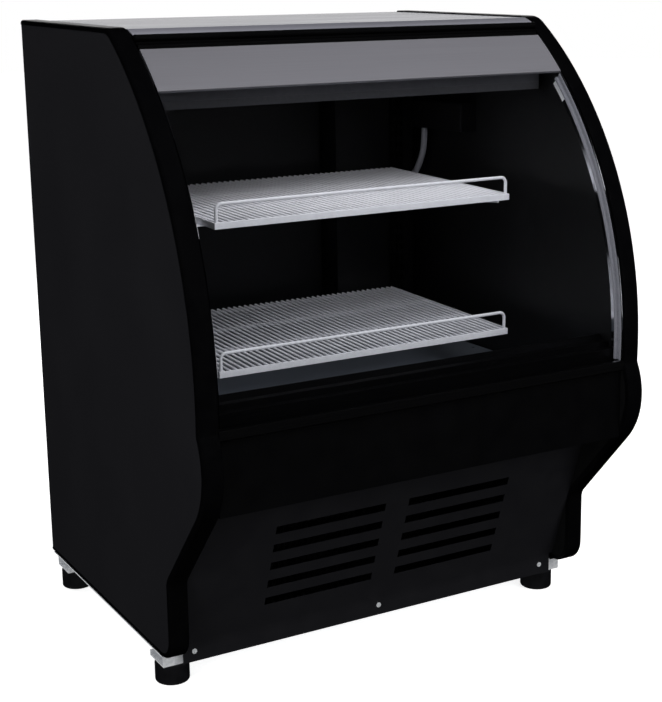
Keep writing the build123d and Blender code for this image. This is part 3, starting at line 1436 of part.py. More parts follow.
hose_end = Vector(*HOSE_POINTS[-1])
end_turn = (hose_end - Vector(*HOSE_POINTS[-2])).normalized()
with BuildPart() as conduit_grommet:
    with BuildSketch(Plane(hose_end, x_dir=(1, 0, 0), z_dir=end_turn)):
        Circle(GROMMET_R - GROMMET_LIP)
    extrude(amount=GROMMET_L)
    flange_z = hose_end.Z + (WALL_Y - hose_end.Y) * end_turn.Z / end_turn.Y
    with BuildSketch(Plane.XZ.offset(-WALL_Y + GROMMET_LIP)):
        with Locations((hose_end.X, flange_z)):
            Circle(GROMMET_R + GROMMET_LIP)
    extrude(amount=-GROMMET_LIP)
    add(
        block(
            (hose_end.X - 2 * GROMMET_R, WALL_Y, flange_z - 3 * GROMMET_R),
            (hose_end.X + 2 * GROMMET_R, WALL_Y + 4 * GROMMET_R, flange_z + 3 * GROMMET_R),
        ),
        mode=Mode.SUBTRACT,
    )
conduit_grommet.part.label = "conduit_grommet"
export_step(conduit_grommet.part, "parts/conduit_grommet.step")


# Rear door: insulated plug behind a flat leaf, gasket, cup handle and pin hinges
LEAF_X = DOOR_W / 2 + DOOR_LAP
LEAF_LOW = DOOR_LOW - DOOR_LAP
LEAF_HIGH = DOOR_HIGH + DOOR_LAP
GASKET_Y = REAR_Y + GAP
LEAF_Y = GASKET_Y + GASKET_T
LEAF_BACK = LEAF_Y + DOOR_LEAF_T
PIN_X = -LEAF_X + GASKET_IN
PIN_Y = (LEAF_Y + LEAF_BACK) / 2
CUP_X = DOOR_W / 2 - DOOR_GAP - CUP_W
CUP_Z = (DOOR_LOW + DOOR_HIGH) / 2


def cup_pocket(extra):
    """The room that the cup handle takes in the leaf and the plug."""
    half_w = CUP_W / 2 + extra
    half_h = CUP_H / 2 + extra
    return block(
        (CUP_X - half_w, LEAF_BACK - CUP_DEPTH - extra, CUP_Z - half_h),
        (CUP_X + half_w, LEAF_BACK, CUP_Z + half_h),
    )


with BuildPart() as rear_door_leaf:
    add(block((-LEAF_X, LEAF_Y, LEAF_LOW), (LEAF_X, LEAF_BACK, LEAF_HIGH)))
    add(cup_pocket(FIT), mode=Mode.SUBTRACT)
    for hole_z, step in ((LEAF_HIGH, -1), (LEAF_LOW, 1)):
        with BuildSketch(Plane.XY.offset(hole_z)):
            with Locations((PIN_X, PIN_Y)):
                Circle(DOOR_PIN_R + PIN_GAP)
        extrude(amount=step * (DOOR_PIN_L + OVER), mode=Mode.SUBTRACT)
rear_door_leaf.part.label = "rear_door_leaf"
export_step(rear_door_leaf.part, "parts/rear_door_leaf.step")

with BuildPart() as rear_door_plug:
    plug_x = DOOR_W / 2 - DOOR_GAP
    add(block((-plug_x, WALL_Y, DOOR_LOW + DOOR_GAP), (plug_x, LEAF_Y, DOOR_HIGH - DOOR_GAP)))
    add(cup_pocket(FIT), mode=Mode.SUBTRACT)
rear_door_plug.part.label = "rear_door_plug"
export_step(rear_door_plug.part, "parts/rear_door_plug.step")

with BuildPart() as rear_door_gasket:
    ring_x = LEAF_X - GASKET_IN
    low_z = LEAF_LOW + GASKET_IN
    high_z = LEAF_HIGH - GASKET_IN
    add(block((-ring_x, GASKET_Y, low_z), (ring_x, LEAF_Y, high_z)))
    add(
        block(
            (-ring_x + GASKET_W, GASKET_Y - OVER, low_z + GASKET_W),
            (ring_x - GASKET_W, LEAF_Y + OVER, high_z - GASKET_W),
        ),
        mode=Mode.SUBTRACT,
    )
rear_door_gasket.part.label = "rear_door_gasket"
export_step(rear_door_gasket.part, "parts/rear_door_gasket.step")

with BuildPart() as rear_door_handle:
    add(cup_pocket(0))
    half_w = CUP_W / 2
    half_h = CUP_H / 2
    add(
        block(
            (CUP_X - half_w - CUP_RIM, LEAF_BACK, CUP_Z - half_h - CUP_RIM),
            (CUP_X + half_w + CUP_RIM, LEAF_BACK + CUP_RIM_T, CUP_Z + half_h + CUP_RIM),
        )
    )
    add(
        block(
            (CUP_X - half_w + CUP_T, LEAF_BACK - CUP_DEPTH + CUP_T, CUP_Z - half_h + CUP_T),
            (CUP_X + half_w - CUP_T, LEAF_BACK + 2 * CUP_RIM_T, CUP_Z + half_h - CUP_T),
        ),
        mode=Mode.SUBTRACT,
    )
rear_door_handle.part.label = "rear_door_handle"
export_step(rear_door_handle.part, "parts/rear_door_handle.step")

with BuildPart() as rear_door_hinges:
    for edge_z, up in ((LEAF_HIGH, 1), (LEAF_LOW, -1)):
        tab_near = edge_z + up * HINGE_GAP
        tab_far = tab_near + up * BRACKET_T
        plate_far = tab_near + up * BRACKET_H
        left_x = PIN_X - BRACKET_W / 2
        right_x = PIN_X + BRACKET_W / 2
        tab_end = PIN_Y + DOOR_PIN_R + BRACKET_T
        add(
            block(
                (left_x, REAR_Y, min(tab_near, tab_far)),
                (right_x, tab_end, max(tab_near, tab_far)),
            )
        )
        add(
            block(
                (left_x, REAR_Y, min(tab_near, plate_far)),
                (right_x, REAR_Y + BRACKET_T, max(tab_near, plate_far)),
            )
        )
        with BuildSketch(Plane.XY.offset(tab_near)):
            with Locations((PIN_X, PIN_Y)):
                Circle(DOOR_PIN_R)
        extrude(amount=-up * (DOOR_PIN_L + HINGE_GAP - GAP))
rear_door_hinges.part.label = "rear_door_hinges"
export_step(rear_door_hinges.part, "parts/rear_door_hinges.step")


# Rear grille: slotted sheet behind the machine space, with a window for the controls
with BuildPart() as rear_grille:
    add(block((-SPAN, REAR_Y - GRILLE_T, PANEL_BOTTOM), (SPAN, REAR_Y, TUB_BOTTOM - FIT)))
    with BuildSketch(Plane.XZ.offset(-REAR_Y)):
        for i in range(GRILLE_SLOT_ROWS):
            slot_z = GRILLE_SLOT_Z + (i - (GRILLE_SLOT_ROWS - 1) / 2) * GRILLE_SLOT_PITCH
            with Locations(*[(x, slot_z) for x in GRILLE_COLUMNS]):
                SlotOverall(GRILLE_SLOT_W, GRILLE_SLOT_H)
        with Locations((PANEL_X, PANEL_Z)):
            Rectangle(PANEL_W - 2 * PANEL_LAP, PANEL_H - 2 * PANEL_LAP)
    extrude(amount=GRILLE_T, mode=Mode.SUBTRACT)
rear_grille.part.label = "rear_grille"
export_step(rear_grille.part, "parts/rear_grille.step")


# Control panel: plate with the thermostat's shaft, the switch housing and the inlet's window
PLATE_Y = REAR_Y + PANEL_T
SWITCH_PIVOT = (REAR_Y, PANEL_Z)
SWITCH_ROOM_H = SWITCH_H / 2 + SWITCH_ROOM
SWITCH_ROOM_D = SWITCH_D / 2 + SWITCH_BACK
with BuildPart() as control_panel:
    add(
        block(
            (PANEL_X - PANEL_W / 2, REAR_Y, PANEL_Z - PANEL_H / 2),
            (PANEL_X + PANEL_W / 2, PLATE_Y, PANEL_Z + PANEL_H / 2),
        )
    )
    with BuildSketch(Plane.XZ.offset(-PLATE_Y)):
        with Locations((KNOB_X, PANEL_Z)):
            Circle(SHAFT_R)
    extrude(amount=-SHAFT_L)
    room_x = SWITCH_W / 2 + GAP
    add(
        block(
            (
                SWITCH_X - room_x - SWITCH_WALL,
                REAR_Y - SWITCH_ROOM_D - SWITCH_WALL,
                PANEL_Z - SWITCH_ROOM_H - SWITCH_WALL,
            ),
            (SWITCH_X + room_x + SWITCH_WALL, REAR_Y, PANEL_Z + SWITCH_ROOM_H + SWITCH_WALL),
        )
    )
    add(
        block(
            (SWITCH_X - room_x, REAR_Y - SWITCH_ROOM_D, PANEL_Z - SWITCH_ROOM_H),
            (SWITCH_X + room_x, PLATE_Y + OVER, PANEL_Z + SWITCH_ROOM_H),
        ),
        mode=Mode.SUBTRACT,
    )
    with BuildSketch(Plane.YZ.offset(SWITCH_X)):
        with Locations(SWITCH_PIVOT):
            Circle(SWITCH_PIN_R + PIN_GAP)
    extrude(amount=room_x + SWITCH_PIN_L + GAP, both=True, mode=Mode.SUBTRACT)
    add(
        block(
            (INLET_X - INLET_W / 2 - FIT, REAR_Y - OVER, PANEL_Z - INLET_H / 2 - FIT),
            (INLET_X + INLET_W / 2 + FIT, PLATE_Y + OVER, PANEL_Z + INLET_H / 2 + FIT),
        ),
        mode=Mode.SUBTRACT,
    )
control_panel.part.label = "control_panel"
export_step(control_panel.part, "parts/control_panel.step")

with BuildPart() as thermostat_knob:
    with BuildSketch(Plane.XZ.offset(-PLATE_Y - GAP)):
        with Locations((KNOB_X, PANEL_Z)):
            Circle(KNOB_R)
    extrude(amount=-KNOB_H)
    fillet(thermostat_knob.edges().filter_by(GeomType.CIRCLE).sort_by(Axis.Y)[-1], KNOB_EDGE_R)
    with BuildSketch(Plane.XZ.offset(-PLATE_Y - GAP)):
        with Locations((KNOB_X, PANEL_Z)):
            Circle(SHAFT_R + PIN_GAP)
    extrude(amount=-SHAFT_L, mode=Mode.SUBTRACT)
    tip_y = PLATE_Y + GAP + KNOB_H
    add(
        block(
            (KNOB_X - POINTER_W / 2, tip_y - POINTER_H, PANEL_Z + POINTER_START),
            (KNOB_X + POINTER_W / 2, tip_y + POINTER_H, PANEL_Z + KNOB_R - POINTER_EDGE),
        )
    )
thermostat_knob.part.label = "thermostat_knob"
export_step(thermostat_knob.part, "parts/thermostat_knob.step")

rocker_plane = Plane.YZ.offset(SWITCH_X)
with BuildPart() as power_switch:
    with BuildSketch(rocker_plane):
        with BuildLine():
            half_d = SWITCH_D / 2
            half_h = SWITCH_H / 2
            Polyline(
                (SWITCH_PIVOT[0] - half_d, SWITCH_PIVOT[1] - half_h),
                (SWITCH_PIVOT[0] + half_d, SWITCH_PIVOT[1] - half_h),
                (SWITCH_PIVOT[0] + half_d - SWITCH_DIP, SWITCH_PIVOT[1]),
                (SWITCH_PIVOT[0] + half_d, SWITCH_PIVOT[1] + half_h),
                (SWITCH_PIVOT[0] - half_d, SWITCH_PIVOT[1] + half_h),
                close=True,
            )
        make_face()
    extrude(amount=SWITCH_W / 2, both=True)
    with BuildSketch(rocker_plane):
        with Locations(SWITCH_PIVOT):
            Circle(SWITCH_PIN_R)
    extrude(amount=SWITCH_W / 2 + SWITCH_PIN_L, both=True)
pivot_axis = Axis((SWITCH_X, SWITCH_PIVOT[0], SWITCH_PIVOT[1]), (1, 0, 0))
power_switch.part = power_switch.part.rotate(pivot_axis, SWITCH_TILT)
power_switch.part.label = "power_switch"
export_step(power_switch.part, "parts/power_switch.step")

# Mains inlet: socket body in the panel's window, with three blades in a recess
with BuildPart() as power_inlet:
    half_w = INLET_W / 2
    half_h = INLET_H / 2
    add(
        block(
            (INLET_X - half_w, PLATE_Y - INLET_D, PANEL_Z - half_h),
            (INLET_X + half_w, PLATE_Y + INLET_FLANGE, PANEL_Z + half_h),
        )
    )
    add(
        block(
            (INLET_X - half_w - INLET_LAP, PLATE_Y, PANEL_Z - half_h - INLET_LAP),
            (INLET_X + half_w + INLET_LAP, PLATE_Y + INLET_FLANGE, PANEL_Z + half_h + INLET_LAP),
        )
    )
    recess_y = PLATE_Y - INLET_D + INLET_FLOOR
    add(
        block(
            (INLET_X - half_w + INLET_WALL, recess_y, PANEL_Z - half_h + INLET_WALL),
            (
                INLET_X + half_w - INLET_WALL,
                PLATE_Y + INLET_FLANGE + OVER,
                PANEL_Z + half_h - INLET_WALL,
            ),
        ),
        mode=Mode.SUBTRACT,
    )
    for dx, dz in BLADE_PLACES:
        blade_x = INLET_X + dx
        blade_z = PANEL_Z + dz
        add(
            block(
                (blade_x - BLADE_W / 2, recess_y - BLADE_SUNK, blade_z - BLADE_H / 2),
                (blade_x + BLADE_W / 2, PLATE_Y - BLADE_BELOW, blade_z + BLADE_H / 2),
            )
        )
power_inlet.part.label = "power_inlet"
export_step(power_inlet.part, "parts/power_inlet.step")
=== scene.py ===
from math import asin, cos, pi, radians, sin

import bmesh
import bpy
from mathutils import Matrix, Vector


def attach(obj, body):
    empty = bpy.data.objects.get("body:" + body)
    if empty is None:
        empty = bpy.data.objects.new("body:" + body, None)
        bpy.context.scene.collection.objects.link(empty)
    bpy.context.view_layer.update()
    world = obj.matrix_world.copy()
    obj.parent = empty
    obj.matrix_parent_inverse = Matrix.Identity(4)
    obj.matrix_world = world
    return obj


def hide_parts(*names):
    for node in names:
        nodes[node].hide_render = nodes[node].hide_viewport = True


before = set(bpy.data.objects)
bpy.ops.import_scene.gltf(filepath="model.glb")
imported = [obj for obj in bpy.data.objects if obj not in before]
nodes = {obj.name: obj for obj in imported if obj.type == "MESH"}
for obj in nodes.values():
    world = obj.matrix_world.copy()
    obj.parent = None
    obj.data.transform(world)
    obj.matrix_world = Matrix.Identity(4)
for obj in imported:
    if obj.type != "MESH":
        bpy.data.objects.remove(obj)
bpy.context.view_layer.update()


# Studio: a pale matte floor that glows, in an even white room, with soft lamps above, before,
# beside and behind the case, and the case's own canopy lamp lit. The camera stands where the
# photograph was taken from.
scene = bpy.context.scene
scene.view_settings.view_transform = "Standard"
EYE = (-1.4599, -2.5578, 1.3088)
YAW = radians(27.84)
PITCH = radians(-12.31)
ROLL = radians(-1.31)
FOCAL_PX = 1404.9
PHOTO_H = 702
SENSOR_MM = 36.0
ASIDE_PX = 49
DOWN_PX = -37

ahead = Vector((sin(YAW) * cos(PITCH), cos(YAW) * cos(PITCH), sin(PITCH)))
level = Vector((cos(YAW), -sin(YAW), 0))
upward = level.cross(ahead)
camera_right = cos(ROLL) * level + sin(ROLL) * upward
camera_up = cos(ROLL) * upward - sin(ROLL) * level
camera_data = bpy.data.cameras.new("photo_camera")
camera_data.sensor_width = SENSOR_MM
camera_data.lens = FOCAL_PX * SENSOR_MM / PHOTO_H
camera_data.shift_x = ASIDE_PX / PHOTO_H
camera_data.shift_y = DOWN_PX / PHOTO_H
camera = bpy.data.objects.new("photo_camera", camera_data)
scene.collection.objects.link(camera)
turned = Matrix((camera_right, camera_up, -ahead)).transposed().to_4x4()
camera.matrix_world = Matrix.Translation(EYE) @ turned
scene.camera = camera


def linear(hex_colour):
    """The linear colour of an sRGB hex value."""
    channels = [int(hex_colour[i : i + 2], 16) / 255 for i in (1, 3, 5)]
    return [c / 12.92 if c <= 0.04045 else ((c + 0.055) / 1.055) ** 2.4 for c in channels] + [1.0]


def add_node(tree, kind, inputs=(), **settings):
    """A new node with its settings, its socket values and its links."""
    node = tree.nodes.new(kind)
    for name, value in settings.items():
        setattr(node, name, value)
    for socket, value in dict(inputs).items():
        if isinstance(value, bpy.types.NodeSocket):
            tree.links.new(value, node.inputs[socket])
        else:
            node.inputs[socket].default_value = value
    return node


# The room is full white where it is looked at, directly or through the glass, and dimmer where
# it lights the case. Reflections leave it out.
room = bpy.data.worlds.new("studio_room")
room.use_nodes = True
room_tree = room.node_tree
room_tree.nodes.clear()
SEEN = 1.0
LIT = 0.4
ray = add_node(room_tree, "ShaderNodeLightPath")
through = add_node(
    room_tree,
    "ShaderNodeMath",
    {0: ray.outputs["Is Transmission Ray"], 1: ray.outputs["Diffuse Depth"]},
    operation="SUBTRACT",
    use_clamp=True,
)
looked_at = add_node(
    room_tree,
    "ShaderNodeMath",
    {0: ray.outputs["Is Camera Ray"], 1: through.outputs[0]},
    operation="ADD",
    use_clamp=True,
)
lit = add_node(room_tree, "ShaderNodeBackground", {"Color": linear("#ffffff"), "Strength": LIT})
seen = add_node(room_tree, "ShaderNodeBackground", {"Color": linear("#ffffff"), "Strength": SEEN})
inputs = {0: ray.outputs["Glossy Depth"], 1: seen.outputs[0]}
unless_mirrored = add_node(room_tree, "ShaderNodeMixShader", inputs)
inputs = {0: looked_at.outputs[0], 1: lit.outputs[0], 2: unless_mirrored.outputs[0]}
whole = add_node(room_tree, "ShaderNodeMixShader", inputs)
add_node(room_tree, "ShaderNodeOutputWorld", {"Surface": whole.outputs[0]})
room.cycles_visibility.glossy = False
scene.world = room

# The floor is matte acrylic, almost white. The camera sees it, and the case mirrors none of it.
FLOOR_SPAN = 60.0
FLOOR_GLOW = 0.72
FLOOR_SIDES = 64
lit_floor = bpy.data.materials.new("matte_acrylic_floor")
lit_floor.use_nodes = True
floor_shader = lit_floor.node_tree.nodes["Principled BSDF"]
floor_shader.inputs["Base Color"].default_value = linear("#f2f2f2")
floor_shader.inputs["Roughness"].default_value = 0.9
floor_shader.inputs["Specular IOR Level"].default_value = 0.1
floor_shader.inputs["Emission Color"].default_value = linear("#ffffff")
floor_shader.inputs["Emission Strength"].default_value = FLOOR_GLOW
floor_mesh = bpy.data.meshes.new("studio_floor")
floor_bm = bmesh.new()
bmesh.ops.create_circle(floor_bm, cap_ends=True, segments=FLOOR_SIDES, radius=FLOOR_SPAN / 2)
floor_bm.to_mesh(floor_mesh)
floor_mesh.materials.append(lit_floor)
floor = bpy.data.objects.new("studio_floor", floor_mesh)
floor.visible_diffuse = False
floor.visible_glossy = False
floor.visible_transmission = False
scene.collection.objects.link(floor)

# Each lamp has a name, its place, the place it faces, its width, height and watts, and whether
# reflections show it. Only the rear card is mirrored, as a broad white sheen on the top.
LAMPS = (
    ("overhead_softbox", (0.2, -1.7, 3.0), (0.0, 0.0, 0.8), 2.2, 1.6, 60.0, False),
    ("front_softbox", (1.6, -3.2, 1.6), (0.0, 0.0, 0.8), 1.8, 1.4, 40.0, False),
    ("left_softbox", (-3.4, -1.2, 0.9), (-0.5, 0.0, 0.5), 2.0, 1.6, 45.0, False),
    ("rear_card", (2.2, 4.2, 1.9), (0.0, 0.0, 1.2), 4.5, 1.8, 22.0, True),
    ("rear_softbox", (-1.2, 3.6, 1.5), (0.0, 0.4, 0.7), 2.0, 1.6, 60.0, False),
    ("canopy_lamp_glow", (0.0, -0.07, 1.1245), (0.0, -0.07, 0.0), 0.74, 0.09, 1.0, False),
)
for name, stand, aim, width, height, watts, in_gloss in LAMPS:
    lamp_data = bpy.data.lights.new(name, "AREA")
    lamp_data.shape = "RECTANGLE"
    lamp_data.size = width
    lamp_data.size_y = height
    lamp_data.energy = watts
    softbox = bpy.data.objects.new(name, lamp_data)
    softbox.visible_camera = False
    softbox.visible_glossy = in_gloss
    softbox.visible_transmission = in_gloss
    toward = Vector(aim) - Vector(stand)
    facing = toward.to_track_quat("-Z", "Y").to_matrix().to_4x4()
    softbox.matrix_world = Matrix.Translation(stand) @ facing
    scene.collection.objects.link(softbox)


# Base pan and cross rails: galvanised sheet steel, cut and folded. The zinc has faint spangles
# about 7 mm across and a pale dull shine. The pan's upper face is painted a dull black, a painted
# shade that keeps the machine bay dark behind the kick panel's slots.
MM = 0.001
WELD = 1e-6
FLAT = radians(0.05)


def finish(
    name,
    colours,
    metallic,
    roughness,
    patch_mm,
    relief_mm,
    depth_mm,
    stretch=(1, 1, 1),
    cells=False,
    **more,
):
    """A surface whose colour and roughness drift between two values in patches, or in the
    cells of a crystal, with a fine relief. Stretch draws both patterns out along the axes."""
    material = bpy.data.materials.new(name)
    material.use_nodes = True
    tree = material.node_tree
    shader = tree.nodes["Principled BSDF"]
    for socket, value in {"Metallic": metallic, **more}.items():
        shader.inputs[socket.replace("_", " ")].default_value = value
    spot = add_node(tree, "ShaderNodeTexCoord").outputs["Object"]
    scale = [1 / by for by in stretch]
    drawn = add_node(tree, "ShaderNodeMapping", {"Vector": spot, "Scale": scale}).outputs["Vector"]
    # A noise stays between 0.3 and 0.7 nearly everywhere, while cells fill the range from 0 to 1.
    kind, output = ("ShaderNodeTexVoronoi", "Color") if cells else ("ShaderNodeTexNoise", "Fac")
    low, high = (0.0, 1.0) if cells else (0.3, 0.7)
    inputs = {"Vector": drawn, "Scale": 1 / (MM * patch_mm), "Detail": 3.0}
    patches = add_node(tree, kind, inputs).outputs[output]
    inputs = {"Value": patches, "From Min": low, "From Max": high}
    drift = add_node(tree, "ShaderNodeMapRange", inputs).outputs["Result"]
    inputs = {"Value": drift, "To Min": roughness[0], "To Max": roughness[1]}
    gloss = add_node(tree, "ShaderNodeMapRange", inputs).outputs["Result"]
    inputs = {0: drift, 6: linear(colours[0]), 7: linear(colours[1])}
    hue = add_node(tree, "ShaderNodeMix", inputs, data_type="RGBA").outputs[2]
    inputs = {"Vector": drawn, "Scale": 1 / (MM * relief_mm)}
    grit = add_node(tree, "ShaderNodeTexNoise", inputs).outputs["Fac"]
    inputs = {"Height": grit, "Distance": MM * depth_mm}
    bump = add_node(tree, "ShaderNodeBump", inputs).outputs["Normal"]
    for value, socket in ((hue, "Base Color"), (gloss, "Roughness"), (bump, "Normal")):
        tree.links.new(value, shader.inputs[socket])
    return material


def dress(node, material):
    """Gives a CAD node that keeps its own mesh a material."""
    nodes[node].data.materials.clear()
    nodes[node].data.materials.append(material)


def place(name, mesh, material, body, stands_for=()):
    """Puts a mesh into the scene as a piece that rides on a body."""
    mesh.name = name
    piece = bpy.data.objects.new(name, mesh)
    scene.collection.objects.link(piece)
    if material:
        mesh.materials.clear()
        mesh.materials.append(material)
    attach(piece, body)
    if stands_for:
        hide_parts(*stands_for)
    return piece


def plain_mesh(carrier):
    """The finished mesh of an object that is needed only to make it, and then goes."""
    scene.collection.objects.link(carrier)
    bpy.context.view_layer.update()
    graph = bpy.context.evaluated_depsgraph_get()
    made = bpy.data.meshes.new_from_object(carrier.evaluated_get(graph))
    bpy.data.objects.remove(carrier)
    return made


def to_mesh(bm, sharp=30.0):
    """A smooth mesh that stays crisp where faces meet at more than sharp degrees. Large faces
    weigh most in its normals, so that they stay flat beside a rounded edge."""
    mesh = bpy.data.meshes.new("piece")
    bm.to_mesh(mesh)
    bm.free()
    for layer in ("custom_normal", "sharp_face"):
        if layer in mesh.attributes:
            mesh.attributes.remove(mesh.attributes[layer])
    mesh.shade_smooth()
    mesh.set_sharp_from_angle(angle=radians(sharp))
    carrier = bpy.data.objects.new("carrier", mesh)
    carrier.modifiers.new("weighted", "WEIGHTED_NORMAL").keep_sharp = True
    return plain_mesh(carrier)


def two_tone(mesh, main, other, chosen):
    """Gives a mesh a main material, and another one on the faces that chosen picks."""
    mesh.materials.clear()
    mesh.materials.append(main)
    mesh.materials.append(other)
    for face in mesh.polygons:
        face.material_index = int(chosen(face))
    return mesh


def softened(node, width_mm=0.0, segments=2, sharp=30.0):
    """A merged copy of a CAD node's mesh, its hard edges rounded off."""
    bm = bmesh.new()
    bm.from_mesh(nodes[node].data)
    bmesh.ops.remove_doubles(bm, verts=bm.verts, dist=WELD)
    bmesh.ops.dissolve_limit(bm, angle_limit=FLAT, verts=bm.verts, edges=bm.edges)
    if width_mm:
        hard = [e for e in bm.edges if e.is_manifold and e.calc_face_angle(0) > radians(sharp)]
        bmesh.ops.bevel(
            bm,
            geom=hard,
            offset=MM * width_mm,
            offset_type="OFFSET",
            segments=segments,
            profile=0.5,
            affect="EDGES",
            clamp_overlap=True,
        )
    return to_mesh(bm, sharp)


SPANGLE_MM = 7.0
PAN_EDGE = 0.5
RAIL_EDGE = 0.7
UPWARD = 0.9
galvanised = finish(
    "galvanised_steel",
    ("#c4c8ce", "#eceef1"),
    0.25,
    (0.34, 0.5),
    SPANGLE_MM,
    1.0,
    0.01,
    cells=True,
)
# Painted shade: this dull black stands in for the darkness inside the machine bay.
painted_bay_shade = finish("black_painted_bay_shade", ("#050506", "#08080a"), 0.0, (0.6, 0.75), 30.0, 2.0, 0.05)
mesh = softened("base_pan", PAN_EDGE)
mesh = two_tone(mesh, galvanised, painted_bay_shade, lambda face: face.normal.z > UPWARD)
place("base_sheet", mesh, None, "cabinet", ["base_pan"])
for end in ("front", "rear"):
    node = f"{end}_cross_rail"
    mesh = softened(node, RAIL_EDGE)
    place(f"{end}_rail_channel", mesh, galvanised, "cabinet", [node])


# Levelling feet: moulded nylon pads, black with a soft dull shine, on bright zinc-plated steel
# studs that screw into the rails. Each pad is a plain drum with a rounded rim, and the stud's
# hexagon under the rail takes a spanner.
FOOT_X = 455.0
FOOT_Y = {"front": -150.0, "rear": 400.0}
FOOT_R = 35.0
FOOT_RIM = 4.0
FOOT_TOP = 45.7
HEX_H = 4.0
HEX_R = 12.0
HEX_CHAMFER = (1.0, 0.6)
STUD_R = 6.0
STUD_UP = 14.0
STUD_POINT = 1.0
THREAD_PITCH = 2.0
THREAD_DEPTH = 0.6
THREAD_CREST = 0.3
THREAD_ROOT = 0.8
CAP_R = 0.5
PAD_TOP = FOOT_TOP - HEX_H


def rounded_corner(x, y, r, start, count=4):
    """Points of a quarter turn round a centre, in count steps from an angle in degrees."""
    turns = [radians(start + 90 * i / count) for i in range(count + 1)]
    return [(x + r * cos(a), y + r * sin(a)) for a in turns]


def lathe(profile, centre, segments=48):
    """A turned shape: profile of (radius, height) in mm about an upright axis."""
    bm = bmesh.new()
    rings = []
    for r, height in profile:
        turns = [2 * pi * i / segments for i in range(segments)]
        ring = [Vector(centre) + Vector((r * cos(turn), r * sin(turn), height)) for turn in turns]
        rings.append([bm.verts.new(MM * spot) for spot in ring])
    for a, b in zip(rings, rings[1:]):
        for i in range(segments):
            bm.faces.new((a[i - 1], a[i], b[i], b[i - 1]))
    bm.faces.new(rings[0])
    bm.faces.new(rings[-1])
    bmesh.ops.recalc_face_normals(bm, faces=bm.faces)
    return to_mesh(bm)


def joined(meshes):
    """One mesh of several."""
    bm = bmesh.new()
    for mesh in meshes:
        bm.from_mesh(mesh)
    whole_mesh = bpy.data.meshes.new("joined")
    bm.to_mesh(whole_mesh)
    bm.free()
    return whole_mesh


nylon = finish("moulded_nylon", ("#0e0e10", "#151518"), 0.0, (0.4, 0.5), 12.0, 0.6, 0.03)
zinc = finish("zinc_plated_steel", ("#d0d4d8", "#eceef0"), 0.35, (0.28, 0.45), 2.0, 0.5, 0.01)

pad_profile = [(CAP_R, 0), (FOOT_R - FOOT_RIM, 0)]
pad_profile += rounded_corner(FOOT_R - FOOT_RIM, FOOT_RIM, FOOT_RIM, -90)
pad_profile += [(FOOT_R, PAD_TOP - 2 * FOOT_RIM)]
pad_profile += rounded_corner(FOOT_R - FOOT_RIM, PAD_TOP - FOOT_RIM, FOOT_RIM, 0)
pad_profile += [(CAP_R, PAD_TOP)]
hex_profile = [(CAP_R, PAD_TOP), (HEX_R - HEX_CHAMFER[0], PAD_TOP), (HEX_R, PAD_TOP + HEX_CHAMFER[1])]
hex_profile += [(HEX_R, FOOT_TOP - HEX_CHAMFER[1]), (HEX_R - HEX_CHAMFER[0], FOOT_TOP), (CAP_R, FOOT_TOP)]
thread_profile = [(STUD_R, FOOT_TOP)]
for i in range(int(STUD_UP / THREAD_PITCH)):
    thread_profile += [(STUD_R, FOOT_TOP + (i + THREAD_CREST) * THREAD_PITCH)]
    thread_profile += [(STUD_R - THREAD_DEPTH, FOOT_TOP + (i + THREAD_ROOT) * THREAD_PITCH)]
thread_profile += [(STUD_R - STUD_POINT, FOOT_TOP + STUD_UP), (CAP_R, FOOT_TOP + STUD_UP)]
for end, foot_y in FOOT_Y.items():
    for side, foot_x in (("left", -FOOT_X), ("right", FOOT_X)):
        node = f"foot_{end}_{side}"
        spot = (foot_x, foot_y, 0)
        place(f"{node}_pad", lathe(pad_profile, spot), nylon, node, [node])
        hexagon = lathe(hex_profile, spot, segments=6)
        thread = lathe(thread_profile, spot, segments=24)
        place(f"{node}_stud", joined([hexagon, thread]), zinc, node)


# Side panels: lacquered steel skins on a foam core, held in an extruded moulding that wraps the
# front outline, with black tape over the core's rear edge. The lacquer is a flat semi-gloss
# with faint orange peel, the moulding a deeper black with a soft sheen.
BACK_Y = 434.0
lacquer = finish(
    "black_lacquer_on_steel", ("#1b1b1e", "#1d1d20"), 0.0, (0.44, 0.48), 180.0, 1.6, 0.01
)
moulded = finish("extruded_black_pvc", ("#030304", "#050506"), 0.0, (0.28, 0.36), 25.0, 2.5, 0.004)
# Inside the case the lacquer is deeper and duller, so that the shelves stand out before it.
wall_lacquer = finish(
    "black_lacquer_on_inner_wall", ("#0c0c0d", "#111112"), 0.0, (0.45, 0.56), 40.0, 1.6, 0.01
)
# The foam is a matte pale yellow. Its cells are drawn larger than real ones, so that they show.
foam = finish("rigid_foam", ("#c6b27c", "#e8dab0"), 0.0, (0.85, 0.95), 1.5, 1.5, 0.4)
for side in ("left", "right"):
    node = f"{side}_edge_moulding"
    mesh = softened(node, sharp=40.0)
    place(f"{side}_moulding", mesh, moulded, "cabinet", [node])
    dress(f"{side}_outer_skin", lacquer)
dress("side_inner_skins", wall_lacquer)
mesh = softened("side_foam_cores")
mesh = two_tone(mesh, foam, moulded, lambda face: face.center.y > MM * BACK_Y)
place("side_cores", mesh, None, "cabinet", ["side_foam_cores"])


# Top: a coil-coated pale steel sheet over a foam slab, with a hem at the rear, and a lacquered
# liner below. The glossy coat mirrors the white card behind the case and reads almost white
# at a low angle. The liner is a dull deep black.
TOP_EDGE = 0.5
pale_coat = finish(
    "pale_coil_coat", ("#74747c", "#7e7e87"), 0.0, (0.2, 0.26), 160.0, 60.0, 0.04, (3, 1, 1)
)
inner_lacquer = finish(
    "black_liner_lacquer", ("#060607", "#09090a"), 0.0, (0.45, 0.56), 40.0, 1.6, 0.01
)
mesh = softened("top_panel", TOP_EDGE)
place("top_sheet", mesh, pale_coat, "cabinet", ["top_panel"])
dress("top_foam", foam)
dress("ceiling_liner", inner_lacquer)


